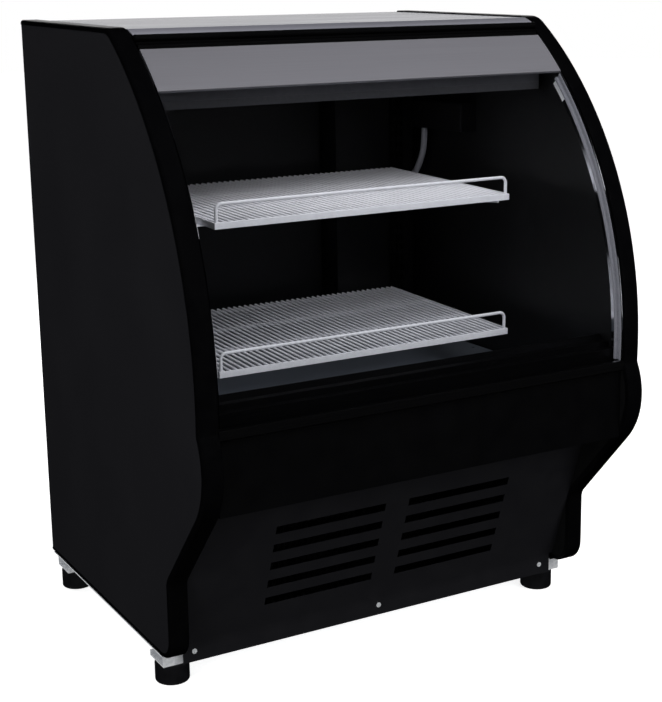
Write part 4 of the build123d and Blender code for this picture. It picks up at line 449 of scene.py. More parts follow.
# Top front extrusion: black anodised aluminium with a round rib and an open socket that the
# glass hangs in. The anodising is a satin black, and die lines run along its whole length,
# drawn coarser than the real ones so that they show.
anodised = finish(
    "black_anodised_aluminium", ("#070708", "#0b0b0c"), 0.3, (0.26, 0.4), 0.8, 0.8, 0.01, (400, 1, 1)
)
mesh = softened("top_front_extrusion", sharp=25.0)
place("top_extrusion", mesh, anodised, "cabinet", ["top_front_extrusion"])


# Header profile: clear anodised aluminium, a satin pale grey, extruded as a curved channel that
# grips the top of the glass. A black strip along its upper edge has a round bead, which turns
# in the socket.
GLASS_R = 808.5
GLASS_CENTRE = (389.98947, 616.96654)
GLASS_X = 457.0
GLASS_NEAR = 2.5
GLASS_T = 6.0
HINGE_Z = 1243.0
HEADER_LOW_Z = 1167.0
HEADER_NEAR = 1.0
HEADER_T = 9.0
HEADER_FOOT = 0.7
HEADER_SHOULDER = 0.8
HEADER_CORNER = 0.2
GRIP = 20.0
GRIP_PLAY = 0.1
BEAD_R = 5.0
BEAD_STEPS = 28
NECK_T = 3.0
NECK_START = 10.5
ARC_STEPS = 14
ARC_HELD_BACK = 0.1


def on_glass(inset, angle):
    """A point of the side view, in mm, at a depth inside the glass line."""
    radius = GLASS_R - inset
    return GLASS_CENTRE[0] - radius * cos(angle), GLASS_CENTRE[1] + radius * sin(angle)


def glass_angle(z, inset=0.0):
    """Angle at which the glass line, moved inwards, reaches a height."""
    return asin((z - GLASS_CENTRE[1]) / (GLASS_R - inset))


def drawn_across(section, half_x, sharp=35.0):
    """A closed section of (y, z) in mm, drawn along X like an extrusion, with capped ends."""
    bm = bmesh.new()
    left, right = [[bm.verts.new(MM * Vector((x, *spot))) for spot in section] for x in (-half_x, half_x)]
    for i in range(len(section)):
        bm.faces.new((left[i - 1], left[i], right[i], right[i - 1]))
    bm.faces.new(left)
    bm.faces.new(right)
    bmesh.ops.recalc_face_normals(bm, faces=bm.faces)
    return to_mesh(bm, sharp)


middle = GLASS_NEAR + GLASS_T / 2
per_mm = 1 / (GLASS_R - middle)
hinge_angle = glass_angle(HINGE_Z, middle)
header_low = glass_angle(HEADER_LOW_Z)
header_high = hinge_angle - NECK_START * per_mm
grip_high = header_low + GRIP * per_mm
far = HEADER_NEAR + HEADER_T
grip_near = GLASS_NEAR - GRIP_PLAY
grip_far = GLASS_NEAR + GLASS_T + GRIP_PLAY
up_the_face = [
    header_low + (header_high - header_low) * (i + ARC_HELD_BACK) / (ARC_STEPS + 2 * ARC_HELD_BACK)
    for i in range(ARC_STEPS + 1)
]
section = [on_glass(HEADER_NEAR + HEADER_FOOT, header_low)]
section += [on_glass(HEADER_NEAR + HEADER_CORNER, header_low + HEADER_CORNER * per_mm)]
section += [on_glass(HEADER_NEAR, angle) for angle in up_the_face]
section += [on_glass(HEADER_NEAR + HEADER_SHOULDER, header_high)]
section += [on_glass(far - HEADER_SHOULDER, header_high)]
section += [on_glass(far, angle) for angle in reversed(up_the_face)]
section += [on_glass(far - HEADER_FOOT, header_low), on_glass(grip_far, header_low)]
section += [on_glass(grip_far, grip_high), on_glass(grip_near, grip_high)]
section += [on_glass(grip_near, header_low)]
satin = finish(
    "satin_anodised_aluminium",
    ("#9a99a1", "#a3a2aa"),
    0.66,
    (0.46, 0.56),
    0.8,
    0.8,
    0.005,
    (400, 1, 1),
)
mesh = drawn_across(section, GLASS_X)
place("header_channel", mesh, satin, "front_glass", ["header_profile"])

hinge = Vector(on_glass(middle, hinge_angle))
down = Vector((-sin(hinge_angle), -cos(hinge_angle)))
out = Vector((-cos(hinge_angle), sin(hinge_angle)))
half_turn = asin(NECK_T / 2 / BEAD_R)
neck = hinge + NECK_START * down
section = [neck - NECK_T / 2 * out, neck + NECK_T / 2 * out]
for i in range(BEAD_STEPS + 1):
    angle = half_turn + (2 * pi - 2 * half_turn) * i / BEAD_STEPS
    section.append(hinge + BEAD_R * (cos(angle) * down + sin(angle) * out))
mesh = drawn_across([tuple(spot) for spot in section], GLASS_X)
place("header_hinge_strip", mesh, anodised, "front_glass")


# Front glass: one pane of 6 mm toughened glass, bent to a single radius, with ground and
# polished edges. It is a low-iron glass, clear and almost without colour.
GLASS_LOW_Z = 586.0
GRIP_TOP_Z = 1181.3
GLASS_EDGE = 1.0
SWEEP_STEPS = 72


def up_the_glass(section, low, high, sharp=35.0):
    """A closed section of (x, depth) in mm, carried along the glass line between two angles."""
    bm = bmesh.new()
    rings = []
    for i in range(SWEEP_STEPS + 1):
        angle = low + (high - low) * i / SWEEP_STEPS
        rings.append([bm.verts.new(MM * Vector((x, *on_glass(depth, angle)))) for x, depth in section])
    for a, b in zip(rings, rings[1:]):
        for i in range(len(section)):
            bm.faces.new((a[i - 1], a[i], b[i], b[i - 1]))
    bm.faces.new(rings[0])
    bm.faces.new(rings[-1])
    bmesh.ops.recalc_face_normals(bm, faces=bm.faces)
    return to_mesh(bm, sharp)


def rounded_box(x0, x1, y0, y1, r, count=3):
    """Points of a rectangle with corners of radius r, each in count steps."""
    return (
        rounded_corner(x1 - r, y1 - r, r, 0, count)
        + rounded_corner(x0 + r, y1 - r, r, 90, count)
        + rounded_corner(x0 + r, y0 + r, r, 180, count)
        + rounded_corner(x1 - r, y0 + r, r, 270, count)
    )


# Light passes the pane unbent on its way to a surface, so that the glass casts no dark shadow.
glass = bpy.data.materials.new("toughened_glass")
glass.use_nodes = True
tree = glass.node_tree
shader = tree.nodes["Principled BSDF"]
shader.inputs["Base Color"].default_value = linear("#fafbfc")
shader.inputs["Roughness"].default_value = 0.0
shader.inputs["IOR"].default_value = 1.45
shader.inputs["Transmission Weight"].default_value = 1.0
clear_way = add_node(tree, "ShaderNodeBsdfTransparent", {"Color": linear("#f7f8f9")})
ray = add_node(tree, "ShaderNodeLightPath")
inputs = {0: ray.outputs["Is Shadow Ray"], 1: shader.outputs[0], 2: clear_way.outputs[0]}
either = add_node(tree, "ShaderNodeMixShader", inputs)
tree.links.new(either.outputs[0], tree.nodes["Material Output"].inputs["Surface"])
pane = up_the_glass(
    rounded_box(-GLASS_X, GLASS_X, GLASS_NEAR, GLASS_NEAR + GLASS_T, GLASS_EDGE),
    glass_angle(GLASS_LOW_Z),
    glass_angle(GRIP_TOP_Z),
    sharp=20.0,
)
place("glass_pane", pane, glass, "front_glass", ["front_glass"])


# Glass seals: soft thermoplastic strips on the side walls, extruded in two colours at once. A
# black web stands beside the ends of the glass, and behind it are two round lips of a pale
# grey with a soft sheen.
INNER = 460.0
SEAL_LOW = glass_angle(GLASS_LOW_Z)
SEAL_HIGH = glass_angle(1165.0)
WEB_DEPTH = 9.15
SEAL_SECTION = (
    (0.0, 4.6), (1.8, 4.6), (2.4, 5.2), (2.4, 8.4), (2.9, 9.0), (3.6, 9.2), (4.3, 10.2),
    (4.6, 12.5), (4.3, 14.8), (3.6, 15.8), (2.9, 16.0), (2.4, 16.6), (2.4, 19.4), (2.9, 20.0),
    (6.2, 20.2), (7.5, 21.4), (8.0, 24.0), (7.5, 26.6), (6.2, 27.8), (2.0, 28.0), (0.0, 28.0),
)
seal_rubber = finish("grey_lip_seal", ("#8c8c94", "#9a9aa2"), 0.0, (0.33, 0.45), 3.0, 1.2, 0.03)
strips = []
for side in (-1, 1):
    section = [(side * (INNER - away), depth) for away, depth in SEAL_SECTION]
    strips.append(up_the_glass(section, SEAL_LOW, SEAL_HIGH))


def in_the_web(face):
    """Whether a face of a seal lies in its black web, nearer the front than the lips."""
    side_view = Vector(face.center.yz) / MM - Vector(GLASS_CENTRE)
    return GLASS_R - side_view.length < WEB_DEPTH


mesh = two_tone(joined(strips), seal_rubber, moulded, in_the_web)
place("lip_seals", mesh, None, "cabinet", ["glass_seals"])


# Bright trims: thin polished aluminium strips beside the seals. They mirror the shelves as long
# white flashes, broken by the black wall, and end under the header in stops painted a clean dull
# white, a painted reflection of the lit canopy lamp.
TRIM_T = 1.2
TRIM_NEAR = 28.2
TRIM_FAR = 42.2
TRIM_EDGE = 0.4
TRIM_LOW = glass_angle(607.0)
STOP_LOW = glass_angle(1127.0)
polished = finish(
    "polished_aluminium", ("#e3e4e8", "#ececf0"), 1.0, (0.07, 0.14), 0.5, 0.5, 0.001, (1, 1, 60)
)
strips = []
stops = []
for side in (-1, 1):
    points = rounded_box(0.0, TRIM_T, TRIM_NEAR, TRIM_FAR, TRIM_EDGE)
    section = [(side * (INNER - away), depth) for away, depth in points]
    strips.append(up_the_glass(section, TRIM_LOW, STOP_LOW))
    stops.append(up_the_glass(section, STOP_LOW, SEAL_HIGH))
place("polished_strips", joined(strips), polished, "cabinet", ["bright_trims"])
# Painted reflection: the white ends stand in for the canopy lamp mirrored in the trims.
painted_lamp_reflection_white = finish("white_painted_lamp_reflection", ("#e9e9ec", "#f2f2f4"), 0.0, (0.35, 0.45), 6.0, 0.8, 0.02)
place("strip_end_stops", joined(stops), painted_lamp_reflection_white, "cabinet")


# Sill, belly and kick panel: a stepped black extrusion over two folded lacquered sheets. The
# sill's edges catch a line of light, and the kick panel is punched with ten plain slots.
# The belly's lacquer is a deep even black, and the kick panel's is painted a little greyer, as a
# painted reflection of the pale floor below it.
SILL_EDGE = 0.9
BELLY_EDGE = 0.6
KICK_EDGE = 0.35
panel_lacquer = finish(
    "black_lacquer_on_panel", ("#050506", "#070708"), 0.0, (0.36, 0.44), 50.0, 1.6, 0.01
)
# Painted reflection: the kick panel's lighter grey stands in for the floor mirrored in it.
kick_lacquer_painted_floor_sheen = finish(
    "black_lacquer_painted_floor_reflection", ("#17171a", "#1a1a1d"), 0.0, (0.36, 0.44), 50.0, 1.6, 0.01
)
mesh = softened("sill_extrusion", SILL_EDGE, segments=3)
place("sill_profile", mesh, anodised, "cabinet", ["sill_extrusion"])
mesh = softened("belly_panel", BELLY_EDGE)
place("belly_sheet", mesh, panel_lacquer, "cabinet", ["belly_panel"])
mesh = softened("kick_panel", KICK_EDGE)
place("kick_sheet", mesh, kick_lacquer_painted_floor_sheen, "cabinet", ["kick_panel"])


# Screws: zinc-plated pan heads with a cross recess, each left at a chance angle when it was
# driven in. Three hold the kick panel's flange, and smaller ones hold the sheets and the
# control plate on the rear.
KICK_SCREWS = [(x, -200.0, 72.0) for x in (-427.0, 0.0, 424.0)]
KICK_HEAD = (5.4, 2.2)
FACE_FRONT = Matrix.Rotation(radians(90), 4, "X")
CROWN = 0.55
RECESS_REACH = 0.62
RECESS_WIDTH = 0.24


def pan_head(radius, height, rings=10, segments=32):
    """A pan head on the XY plane, its cross recess pressed into a domed top."""
    recess_r = radius * RECESS_REACH
    bm = bmesh.new()
    rows = []
    for i in range(rings + 1):
        r = radius * i / rings
        row = []
        for j in range(segments):
            angle = 2 * pi * j / segments
            x, y = r * cos(angle), r * sin(angle)
            dome = height * (1 - CROWN * (r / radius) ** 4)
            near, far = sorted((abs(x), abs(y)))
            pressed = near < RECESS_WIDTH * recess_r and far < recess_r
            row.append(bm.verts.new((x, y, dome - (CROWN * height if pressed else 0))))
        rows.append(row)
    rows.append([bm.verts.new((v.co.x, v.co.y, 0)) for v in rows[-1]])
    for a, b in zip(rows, rows[1:]):
        for j in range(segments):
            bm.faces.new((a[j - 1], a[j], b[j], b[j - 1]))
    bm.faces.new(rows[-1])
    bmesh.ops.remove_doubles(bm, verts=bm.verts, dist=WELD)
    bmesh.ops.recalc_face_normals(bm, faces=bm.faces)
    return to_mesh(bm, sharp=40.0)


def new_tree(name, sockets, result):
    """An empty Geometry Nodes tree with named inputs of given kinds and one geometry output."""
    tree = bpy.data.node_groups.new(name, "GeometryNodeTree")
    for label, kind in sockets.items():
        tree.interface.new_socket(label, in_out="INPUT", socket_type=f"NodeSocket{kind}")
    tree.interface.new_socket(result, in_out="OUTPUT", socket_type="NodeSocketGeometry")
    return tree


sockets = {"Points": "Geometry", "Screw": "Object", "Seed": "Int", "Finish": "Material"}
screw_tree = new_tree("screws_at_points", sockets, "Screws")
given = add_node(screw_tree, "NodeGroupInput")
head = add_node(screw_tree, "GeometryNodeObjectInfo", {"Object": given.outputs["Screw"]})
turn = add_node(
    screw_tree,
    "FunctionNodeRandomValue",
    {"Min": (0, 0, 0), "Max": (0, 0, 2 * pi), "Seed": given.outputs["Seed"]},
    data_type="FLOAT_VECTOR",
)
inputs = {
    "Points": given.outputs["Points"],
    "Instance": head.outputs["Geometry"],
    "Rotation": turn.outputs[0],
}
set_out = add_node(screw_tree, "GeometryNodeInstanceOnPoints", inputs)
real = add_node(screw_tree, "GeometryNodeRealizeInstances", {0: set_out.outputs[0]})
inputs = {"Geometry": real.outputs[0], "Material": given.outputs["Finish"]}
coated = add_node(screw_tree, "GeometryNodeSetMaterial", inputs)
add_node(screw_tree, "NodeGroupOutput", {0: coated.outputs[0]})


def made_by(tree, values, mesh=None):
    """The plain mesh that a Geometry Nodes tree makes from its named inputs."""
    carrier = bpy.data.objects.new("carrier", mesh or bpy.data.meshes.new("carrier"))
    modifier = carrier.modifiers.new("made", "NODES")
    modifier.node_group = tree
    for item in tree.interface.items_tree:
        if item.in_out == "INPUT" and item.name in values:
            modifier[item.identifier] = values[item.name]
    return plain_mesh(carrier)


def screws(places, head, turned, seed):
    """Screws at places in mm, with a head of a radius and a height in mm. Their own +Z is
    turned to face out of the sheet."""
    spots = bpy.data.meshes.new("spots")
    out = turned.inverted()
    spots.from_pydata([out @ (MM * Vector(spot)) for spot in places], [], [])
    template = bpy.data.objects.new("template", pan_head(MM * head[0], MM * head[1]))
    scene.collection.objects.link(template)
    made = made_by(screw_tree, {"Screw": template, "Seed": seed, "Finish": zinc}, spots)
    bpy.data.objects.remove(template)
    made.transform(turned)
    made.set_sharp_from_angle(angle=radians(40))
    return made


mesh = screws(KICK_SCREWS, KICK_HEAD, FACE_FRONT, seed=3)
place("kick_panel_screws", mesh, None, "cabinet", ["kick_screws"])


# Tub, rear wall and air ducts: black lacquered sheet linings on foam, seen only as darkness
# behind the shelves. The tub's foam is painted the bay's black on its sides and underneath, a
# painted shade, and extruded black ABS with a dull sheen lines the doorway.
DOORWAY_X = (-205.0, 205.0)
DOORWAY_Z = (519.0, 1171.0)
SLANTING = 0.5
for node in ("tub_liner", "rear_liner", "air_ducts"):
    dress(node, inner_lacquer)
# The tub foam's sides and underside take the bay's black painted shade.
mesh = two_tone(softened("tub_foam"), foam, painted_bay_shade, lambda face: face.normal.z < SLANTING)
place("tub_core", mesh, None, "cabinet", ["tub_foam"])
dress("rear_outer_sheet", lacquer)
jamb = finish("extruded_black_abs", ("#070708", "#0b0b0c"), 0.0, (0.4, 0.5), 30.0, 2.0, 0.01)


def lines_the_doorway(face):
    """Whether a face of the rear wall's core lies in the doorway's jamb."""
    x, _, z = face.center / MM
    inside = DOORWAY_X[0] < x < DOORWAY_X[1] and DOORWAY_Z[0] < z < DOORWAY_Z[1]
    return inside and abs(face.normal.y) < SLANTING


mesh = two_tone(softened("rear_foam"), foam, jamb, lines_the_doorway)
place("rear_wall_core", mesh, None, "cabinet", ["rear_foam"])


# Uprights and brackets: uprights of black anodised strip with rows of punched slots, and
# sheet steel brackets that hook into them. Their powder coat is a cool white with a smooth,
# slightly pebbled gloss.
UPRIGHT_EDGE = 0.25
BRACKET_EDGE = 0.5
powder = finish("white_powder_coat", ("#dadae0", "#e4e4ea"), 0.0, (0.32, 0.42), 12.0, 1.0, 0.03)
mesh = softened("shelf_uprights", UPRIGHT_EDGE, segments=1)
place("slotted_uprights", mesh, anodised, "cabinet", ["shelf_uprights"])
mesh = softened("shelf_brackets", BRACKET_EDGE)
place("hooked_brackets", mesh, powder, "cabinet", ["shelf_brackets"])


# Shelves: 49 round steel wires resistance-welded to flat bands inside a folded frame, the
# whole powder-coated white. The wires' front ends are welded into the frame's inner face.
SHELF_W = 688.0
SHELF_D = 466.0
SHELF_REAR = 287.0
SHELF_SLOPE = radians(2.0)
SHELF_TOPS = {"upper": 930.0, "lower": 640.0}
WIRE_R = 2.75
WIRE_COUNT = 49
WIRE_PITCH = 13.8
WIRE_SIDES = 12
WIRE_SHORT = 1.2
WELD_IN = 0.1
BAND_W = 20.0
BAND_T = 3.0
BAND_COUNT = 4
BAND_SHORT = 1.0
BAND_EDGE = 0.8
FRAME_H = 13.0
FRAME_T = 2.0
FRAME_EDGE = 0.7

sockets = {
    "Count": "Int",
    "Pitch": "Float",
    "Radius": "Float",
    "Front": "Float",
    "Rear": "Float",
    "Finish": "Material",
}
wire_tree = new_tree("parallel_wires", sockets, "Wires")
given = add_node(wire_tree, "NodeGroupInput")
step = add_node(wire_tree, "ShaderNodeCombineXYZ", {0: given.outputs["Pitch"]})
inputs = {0: given.outputs["Count"], 1: 1.0}
gaps = add_node(wire_tree, "ShaderNodeMath", inputs, operation="SUBTRACT")
inputs = {0: gaps.outputs[0], 1: given.outputs["Pitch"]}
span = add_node(wire_tree, "ShaderNodeMath", inputs, operation="MULTIPLY")
inputs = {0: span.outputs[0], 1: -0.5}
first_x = add_node(wire_tree, "ShaderNodeMath", inputs, operation="MULTIPLY")
inputs = {0: given.outputs["Radius"], 1: -1.0}
low_z = add_node(wire_tree, "ShaderNodeMath", inputs, operation="MULTIPLY")
first = add_node(wire_tree, "ShaderNodeCombineXYZ", {0: first_x.outputs[0], 2: low_z.outputs[0]})
inputs = {
    "Count": given.outputs["Count"],
    "Start Location": first.outputs[0],
    "Offset": step.outputs[0],
}
row = add_node(wire_tree, "GeometryNodeMeshLine", inputs)
front_end = add_node(wire_tree, "ShaderNodeCombineXYZ", {1: given.outputs["Front"]})
rear_end = add_node(wire_tree, "ShaderNodeCombineXYZ", {1: given.outputs["Rear"]})
inputs = {"Start": front_end.outputs[0], "End": rear_end.outputs[0]}
run = add_node(wire_tree, "GeometryNodeCurvePrimitiveLine", inputs)
inputs = {"Resolution": WIRE_SIDES, "Radius": given.outputs["Radius"]}
ring = add_node(wire_tree, "GeometryNodeCurvePrimitiveCircle", inputs)
inputs = {"Curve": run.outputs[0], "Profile Curve": ring.outputs[0], "Fill Caps": True}
rod = add_node(wire_tree, "GeometryNodeCurveToMesh", inputs)
inputs = {"Points": row.outputs[0], "Instance": rod.outputs[0]}
laid = add_node(wire_tree, "GeometryNodeInstanceOnPoints", inputs)
real = add_node(wire_tree, "GeometryNodeRealizeInstances", {0: laid.outputs[0]})
inputs = {"Geometry": real.outputs[0], "Material": given.outputs["Finish"]}
coated = add_node(wire_tree, "GeometryNodeSetMaterial", inputs)
add_node(wire_tree, "NodeGroupOutput", {0: coated.outputs[0]})


def bar(low, high, edge):
    """A box between two corners in mm, its edges rounded by edge mm."""
    bm = bmesh.new()
    bmesh.ops.create_cube(bm, size=1.0)
    size = Vector(high) - Vector(low)
    middle = (Vector(high) + Vector(low)) / 2
    bmesh.ops.scale(bm, vec=MM * size, verts=bm.verts)
    bmesh.ops.translate(bm, vec=MM * middle, verts=bm.verts)
    bmesh.ops.bevel(bm, geom=bm.edges, offset=MM * edge, segments=2, profile=0.5, affect="EDGES")
    return to_mesh(bm)


wires = made_by(
    wire_tree,
    {
        "Count": WIRE_COUNT,
        "Pitch": MM * WIRE_PITCH,
        "Radius": MM * WIRE_R,
        "Front": MM * (WIRE_SHORT - SHELF_D),
        "Rear": 0.0,
        "Finish": powder,
    },
)
shelf_parts = [wires]
half = SHELF_W / 2
shelf_parts.append(bar((-half, -SHELF_D, -FRAME_H), (half, FRAME_T - SHELF_D, 0), FRAME_EDGE))
for x in (-half, half - FRAME_T):
    shelf_parts.append(bar((x, -SHELF_D, -FRAME_H), (x + FRAME_T, 0, 0), FRAME_EDGE))
band_x = half - BAND_SHORT
band_top = -2 * WIRE_R + WELD_IN
for i in range(BAND_COUNT):
    y = -SHELF_D + i * (SHELF_D - BAND_W) / (BAND_COUNT - 1)
    band = bar((-band_x, y, band_top - BAND_T), (band_x, y + BAND_W, band_top), BAND_EDGE)
    shelf_parts.append(band)
shelf_mesh = joined(shelf_parts)
shelf_mesh.shade_smooth()
shelf_mesh.set_sharp_from_angle(angle=radians(35))
for level_name, top_z in SHELF_TOPS.items():
    mesh = shelf_mesh.copy()
    hung = Matrix.Translation((0, MM * SHELF_REAR, MM * top_z))
    mesh.transform(hung @ Matrix.Rotation(SHELF_SLOPE, 4, "X"))
    body = f"{level_name}_shelf"
    place(f"{level_name}_wire_shelf", mesh, powder, body, [body])


# Guard rails: one steel wire each, bent down at both ends, welded to the shelf's front band
# and powder-coated white with it, so that goods stay on the shelf.
GUARD_R = 3.25
GUARD_X = 337.6
GUARD_UP = 38.0
GUARD_BEND = 12.0
BEND_STEPS = 8
GUARD_CLEAR = 0.6
GUARD_RAISE = 0.2
GUARD_STRAIGHT = 0.5


def tube_along(points, radius, segments=16, radii=None):
    """A capped round tube along points in mm."""
    bm = bmesh.new()
    spots = [Vector(p) for p in points]
    across = None
    rings = []
    for i, at in enumerate(spots):
        before = spots[max(i - 1, 0)]
        after = spots[min(i + 1, len(spots) - 1)]
        ahead = (after - before).normalized()
        if across is None:
            across = ahead.orthogonal().normalized()
        across = (across - across.dot(ahead) * ahead).normalized()
        other = ahead.cross(across)
        r = radii[i] if radii else radius
        turns = [2 * pi * j / segments for j in range(segments)]
        rings.append([bm.verts.new(MM * (at + r * cos(a) * across + r * sin(a) * other)) for a in turns])
    for a, b in zip(rings, rings[1:]):
        for j in range(segments):
            bm.faces.new((a[j - 1], a[j], b[j], b[j - 1]))
    bm.faces.new(rings[0])
    bm.faces.new(rings[-1])
    bmesh.ops.recalc_face_normals(bm, faces=bm.faces)
    return to_mesh(bm, sharp=50.0)


stand_back = SHELF_D - FRAME_T - GUARD_R - GUARD_CLEAR
for level_name, top_z in SHELF_TOPS.items():
    y = SHELF_REAR - stand_back * cos(SHELF_SLOPE) + 2 * WIRE_R * sin(SHELF_SLOPE)
    foot_z = top_z - stand_back * sin(SHELF_SLOPE) - 2 * WIRE_R * cos(SHELF_SLOPE) + GUARD_RAISE
    crest_z = top_z - SHELF_D * sin(SHELF_SLOPE) + GUARD_UP - GUARD_R
    near = GUARD_X - GUARD_BEND
    high = crest_z - GUARD_BEND
    bend = rounded_corner(near, high, GUARD_BEND, 0, BEND_STEPS)
    half_path = [(GUARD_X, foot_z), (GUARD_X, foot_z + GUARD_STRAIGHT)] + bend
    path = [(x, y, z) for x, z in half_path] + [(-x, y, z) for x, z in reversed(half_path)]
    mesh = tube_along(path, GUARD_R)
    node = f"{level_name}_guard_rail"
    place(f"{level_name}_guard_wire", mesh, powder, f"{level_name}_shelf", [node])


# Deck: a tray of brushed stainless steel with a drain hole, on two folded skirts. Its grain
# runs across the case and stretches reflections into soft bands. The grain is drawn coarser
# than the real one, so that it shows.
DECK_EDGE = 0.6
brushed = finish(
    "brushed_stainless_steel",
    ("#a2a9b5", "#b0b7c3"),
    0.8,
    (0.28, 0.4),
    0.7,
    0.7,
    0.006,
    (250, 1, 1),
    Anisotropic=0.5,
)
place("deck_tray", softened("deck_pan", DECK_EDGE), brushed, "deck", ["deck_pan"])


# Lamp canopy: a folded steel trough under the ceiling, with a tube lamp in two holders above a
# frosted diffuser. The trough's powder coat is a dull dark grey, and the holders are moulded
# ABS, white with a soft shine.
CANOPY_EDGE = 0.5
grey_coat = finish("grey_powder_coat", ("#3f3f44", "#47474c"), 0.0, (0.4, 0.52), 15.0, 1.0, 0.02)
mesh = softened("lamp_canopy", CANOPY_EDGE)
place("canopy_trough", mesh, grey_coat, "cabinet", ["lamp_canopy"])
# The diffuser's frosting hides the lamp behind an even smoky grey.
frosted = finish("frosted_polycarbonate", ("#3c3c40", "#46464a"), 0.0, (0.5, 0.6), 8.0, 0.8, 0.04)
dress("lamp_diffuser", frosted)
white_plastic = finish("moulded_white_abs", ("#dcdcdc", "#e6e6e6"), 0.0, (0.3, 0.42), 4.0, 0.8, 0.02)
dress("lamp_holders", white_plastic)
# The tube is milky white under a clear gloss.
lamp_glass = finish("opal_lamp_glass", ("#ecece8", "#f3f3f0"), 0.0, (0.12, 0.2), 30.0, 20.0, 0.01)
dress("lamp_tube", lamp_glass)


# Wiring box and conduit: a box on the side wall, moulded in black ABS with a fine dull grain,
# and a corrugated hose of soft-looking grey PVC from it into a grommet in the rear wall. The
# grommet's rubber is a flat black without shine.
HOSE_ROUTE = (
    (0.440, 0.285, 1.020),
    (0.440, 0.285, 0.977),
    (0.440, 0.302, 0.938),
    (0.440, 0.326, 0.905),
    (0.440, 0.356, 0.889),
)
HOSE_R = 7.75
HOSE_SIDES = 24
ROUTE_STEPS = 40
RIB_PITCH = 3.2
RIB_DEPTH = 0.7
RIB_STEPS = 6
GROMMET_EDGE = 0.5
textured = finish("textured_black_abs", ("#050506", "#08080a"), 0.0, (0.52, 0.64), 3.0, 0.8, 0.05)
mesh = softened("wiring_box", sharp=35.0)
place("wiring_case", mesh, textured, "cabinet", ["wiring_box"])

hose_curve = bpy.data.curves.new("hose_route", "CURVE")
hose_curve.dimensions = "3D"
hose_curve.resolution_u = ROUTE_STEPS
spline = hose_curve.splines.new("NURBS")
spline.points.add(len(HOSE_ROUTE) - 1)
for point, spot in zip(spline.points, HOSE_ROUTE):
    point.co = (*spot, 1.0)
spline.order_u = 3
spline.use_endpoint_u = True
line = plain_mesh(bpy.data.objects.new("hose_route", hose_curve))
followed = [v.co.copy() for v in line.vertices]
along = [0.0]
for a, b in zip(followed, followed[1:]):
    along.append(along[-1] + (b - a).length)


def hose_point(distance):
    """The point of the hose's line at a distance along it, in metres."""
    for i in range(1, len(along)):
        if along[i] >= distance:
            share = (distance - along[i - 1]) / (along[i] - along[i - 1])
            return followed[i - 1].lerp(followed[i], share)
    return followed[-1]


ring_count = RIB_STEPS * round(along[-1] / (MM * RIB_PITCH))
centres = [hose_point(along[-1] * i / ring_count) for i in range(ring_count + 1)]
waves = [0.5 - 0.5 * cos(2 * pi * i / RIB_STEPS) for i in range(ring_count + 1)]
swell = [HOSE_R - RIB_DEPTH * wave for wave in waves]
hose_mesh = tube_along([p / MM for p in centres], HOSE_R, HOSE_SIDES, swell)
conduit_pvc = finish("grey_pvc_conduit", ("#93939b", "#a5a5ad"), 0.0, (0.4, 0.52), 2.0, 0.8, 0.02)
hose = place("conduit_hose", hose_mesh, conduit_pvc, "cabinet", ["conduit"])
rubber = finish("moulded_rubber", ("#0a0a0a", "#0f0f0f"), 0.0, (0.55, 0.7), 3.0, 0.9, 0.04)
mesh = softened("conduit_grommet", GROMMET_EDGE)
place("hose_grommet", mesh, rubber, "cabinet", ["conduit_grommet"])


# Evaporator, condenser, fans and compressor: two finned coils, black nylon rotors moulded in
# one piece, and a welded steel can on four posts. The evaporator is bare mill finish with a
# dull silver shine, the condenser is painted a flat black, and the can has a glossy enamel.
fins = finish(
    "mill_finish_aluminium", ("#b0b4b8", "#c4c8cc"), 0.6, (0.32, 0.5), 6.0, 0.8, 0.01, (1, 1, 8)
)
dress("evaporator_coil", fins)
painted_fins = finish(
    "black_painted_aluminium", ("#0a0a0b", "#121213"), 0.0, (0.45, 0.6), 6.0, 0.8, 0.02, (1, 1, 8)
)
dress("condenser_coil", painted_fins)
dress("evaporator_fan", nylon)
dress("condenser_fan", nylon)
enamel = finish("black_enamel", ("#060606", "#0a0a0a"), 0.0, (0.22, 0.36), 20.0, 3.0, 0.04)
mesh = softened("compressor", sharp=25.0)
place("compressor_can", mesh, enamel, "cabinet", ["compressor"])


# Rear door: a lacquered steel leaf over an insulated plug, with a recessed cup handle and two
# pinned hinge plates of zinc-plated steel. A rubber bellows gasket with mitred corners is
# pressed into the leaf's back and closes on the rear sheet.
LEAF_EDGE = 1.5
PLUG_EDGE = 2.0
CUP_EDGE = 0.5
HINGE_EDGE = 0.4
GASKET_HALF = (216.0, 337.0)
GASKET_Z = 845.0
GASKET_BACK = 415.3
GASKET_SECTION = (
    (-6.0, 6.0), (-6.0, 4.9), (-3.2, 4.3), (-4.8, 3.5), (-5.2, 2.2), (-4.4, 0.6), (-3.2, 0.0),
    (3.2, 0.0), (4.4, 0.6), (5.2, 2.2), (4.8, 3.5), (3.2, 4.3), (6.0, 4.9), (6.0, 6.0),
)
MITRES = ((-1, -1), (1, -1), (1, 1), (-1, 1))
mesh = softened("rear_door_leaf", LEAF_EDGE, segments=3)
place("door_leaf", mesh, lacquer, "rear_door", ["rear_door_leaf"])
mesh = softened("rear_door_plug", PLUG_EDGE, segments=3)
place("door_plug", mesh, inner_lacquer, "rear_door", ["rear_door_plug"])

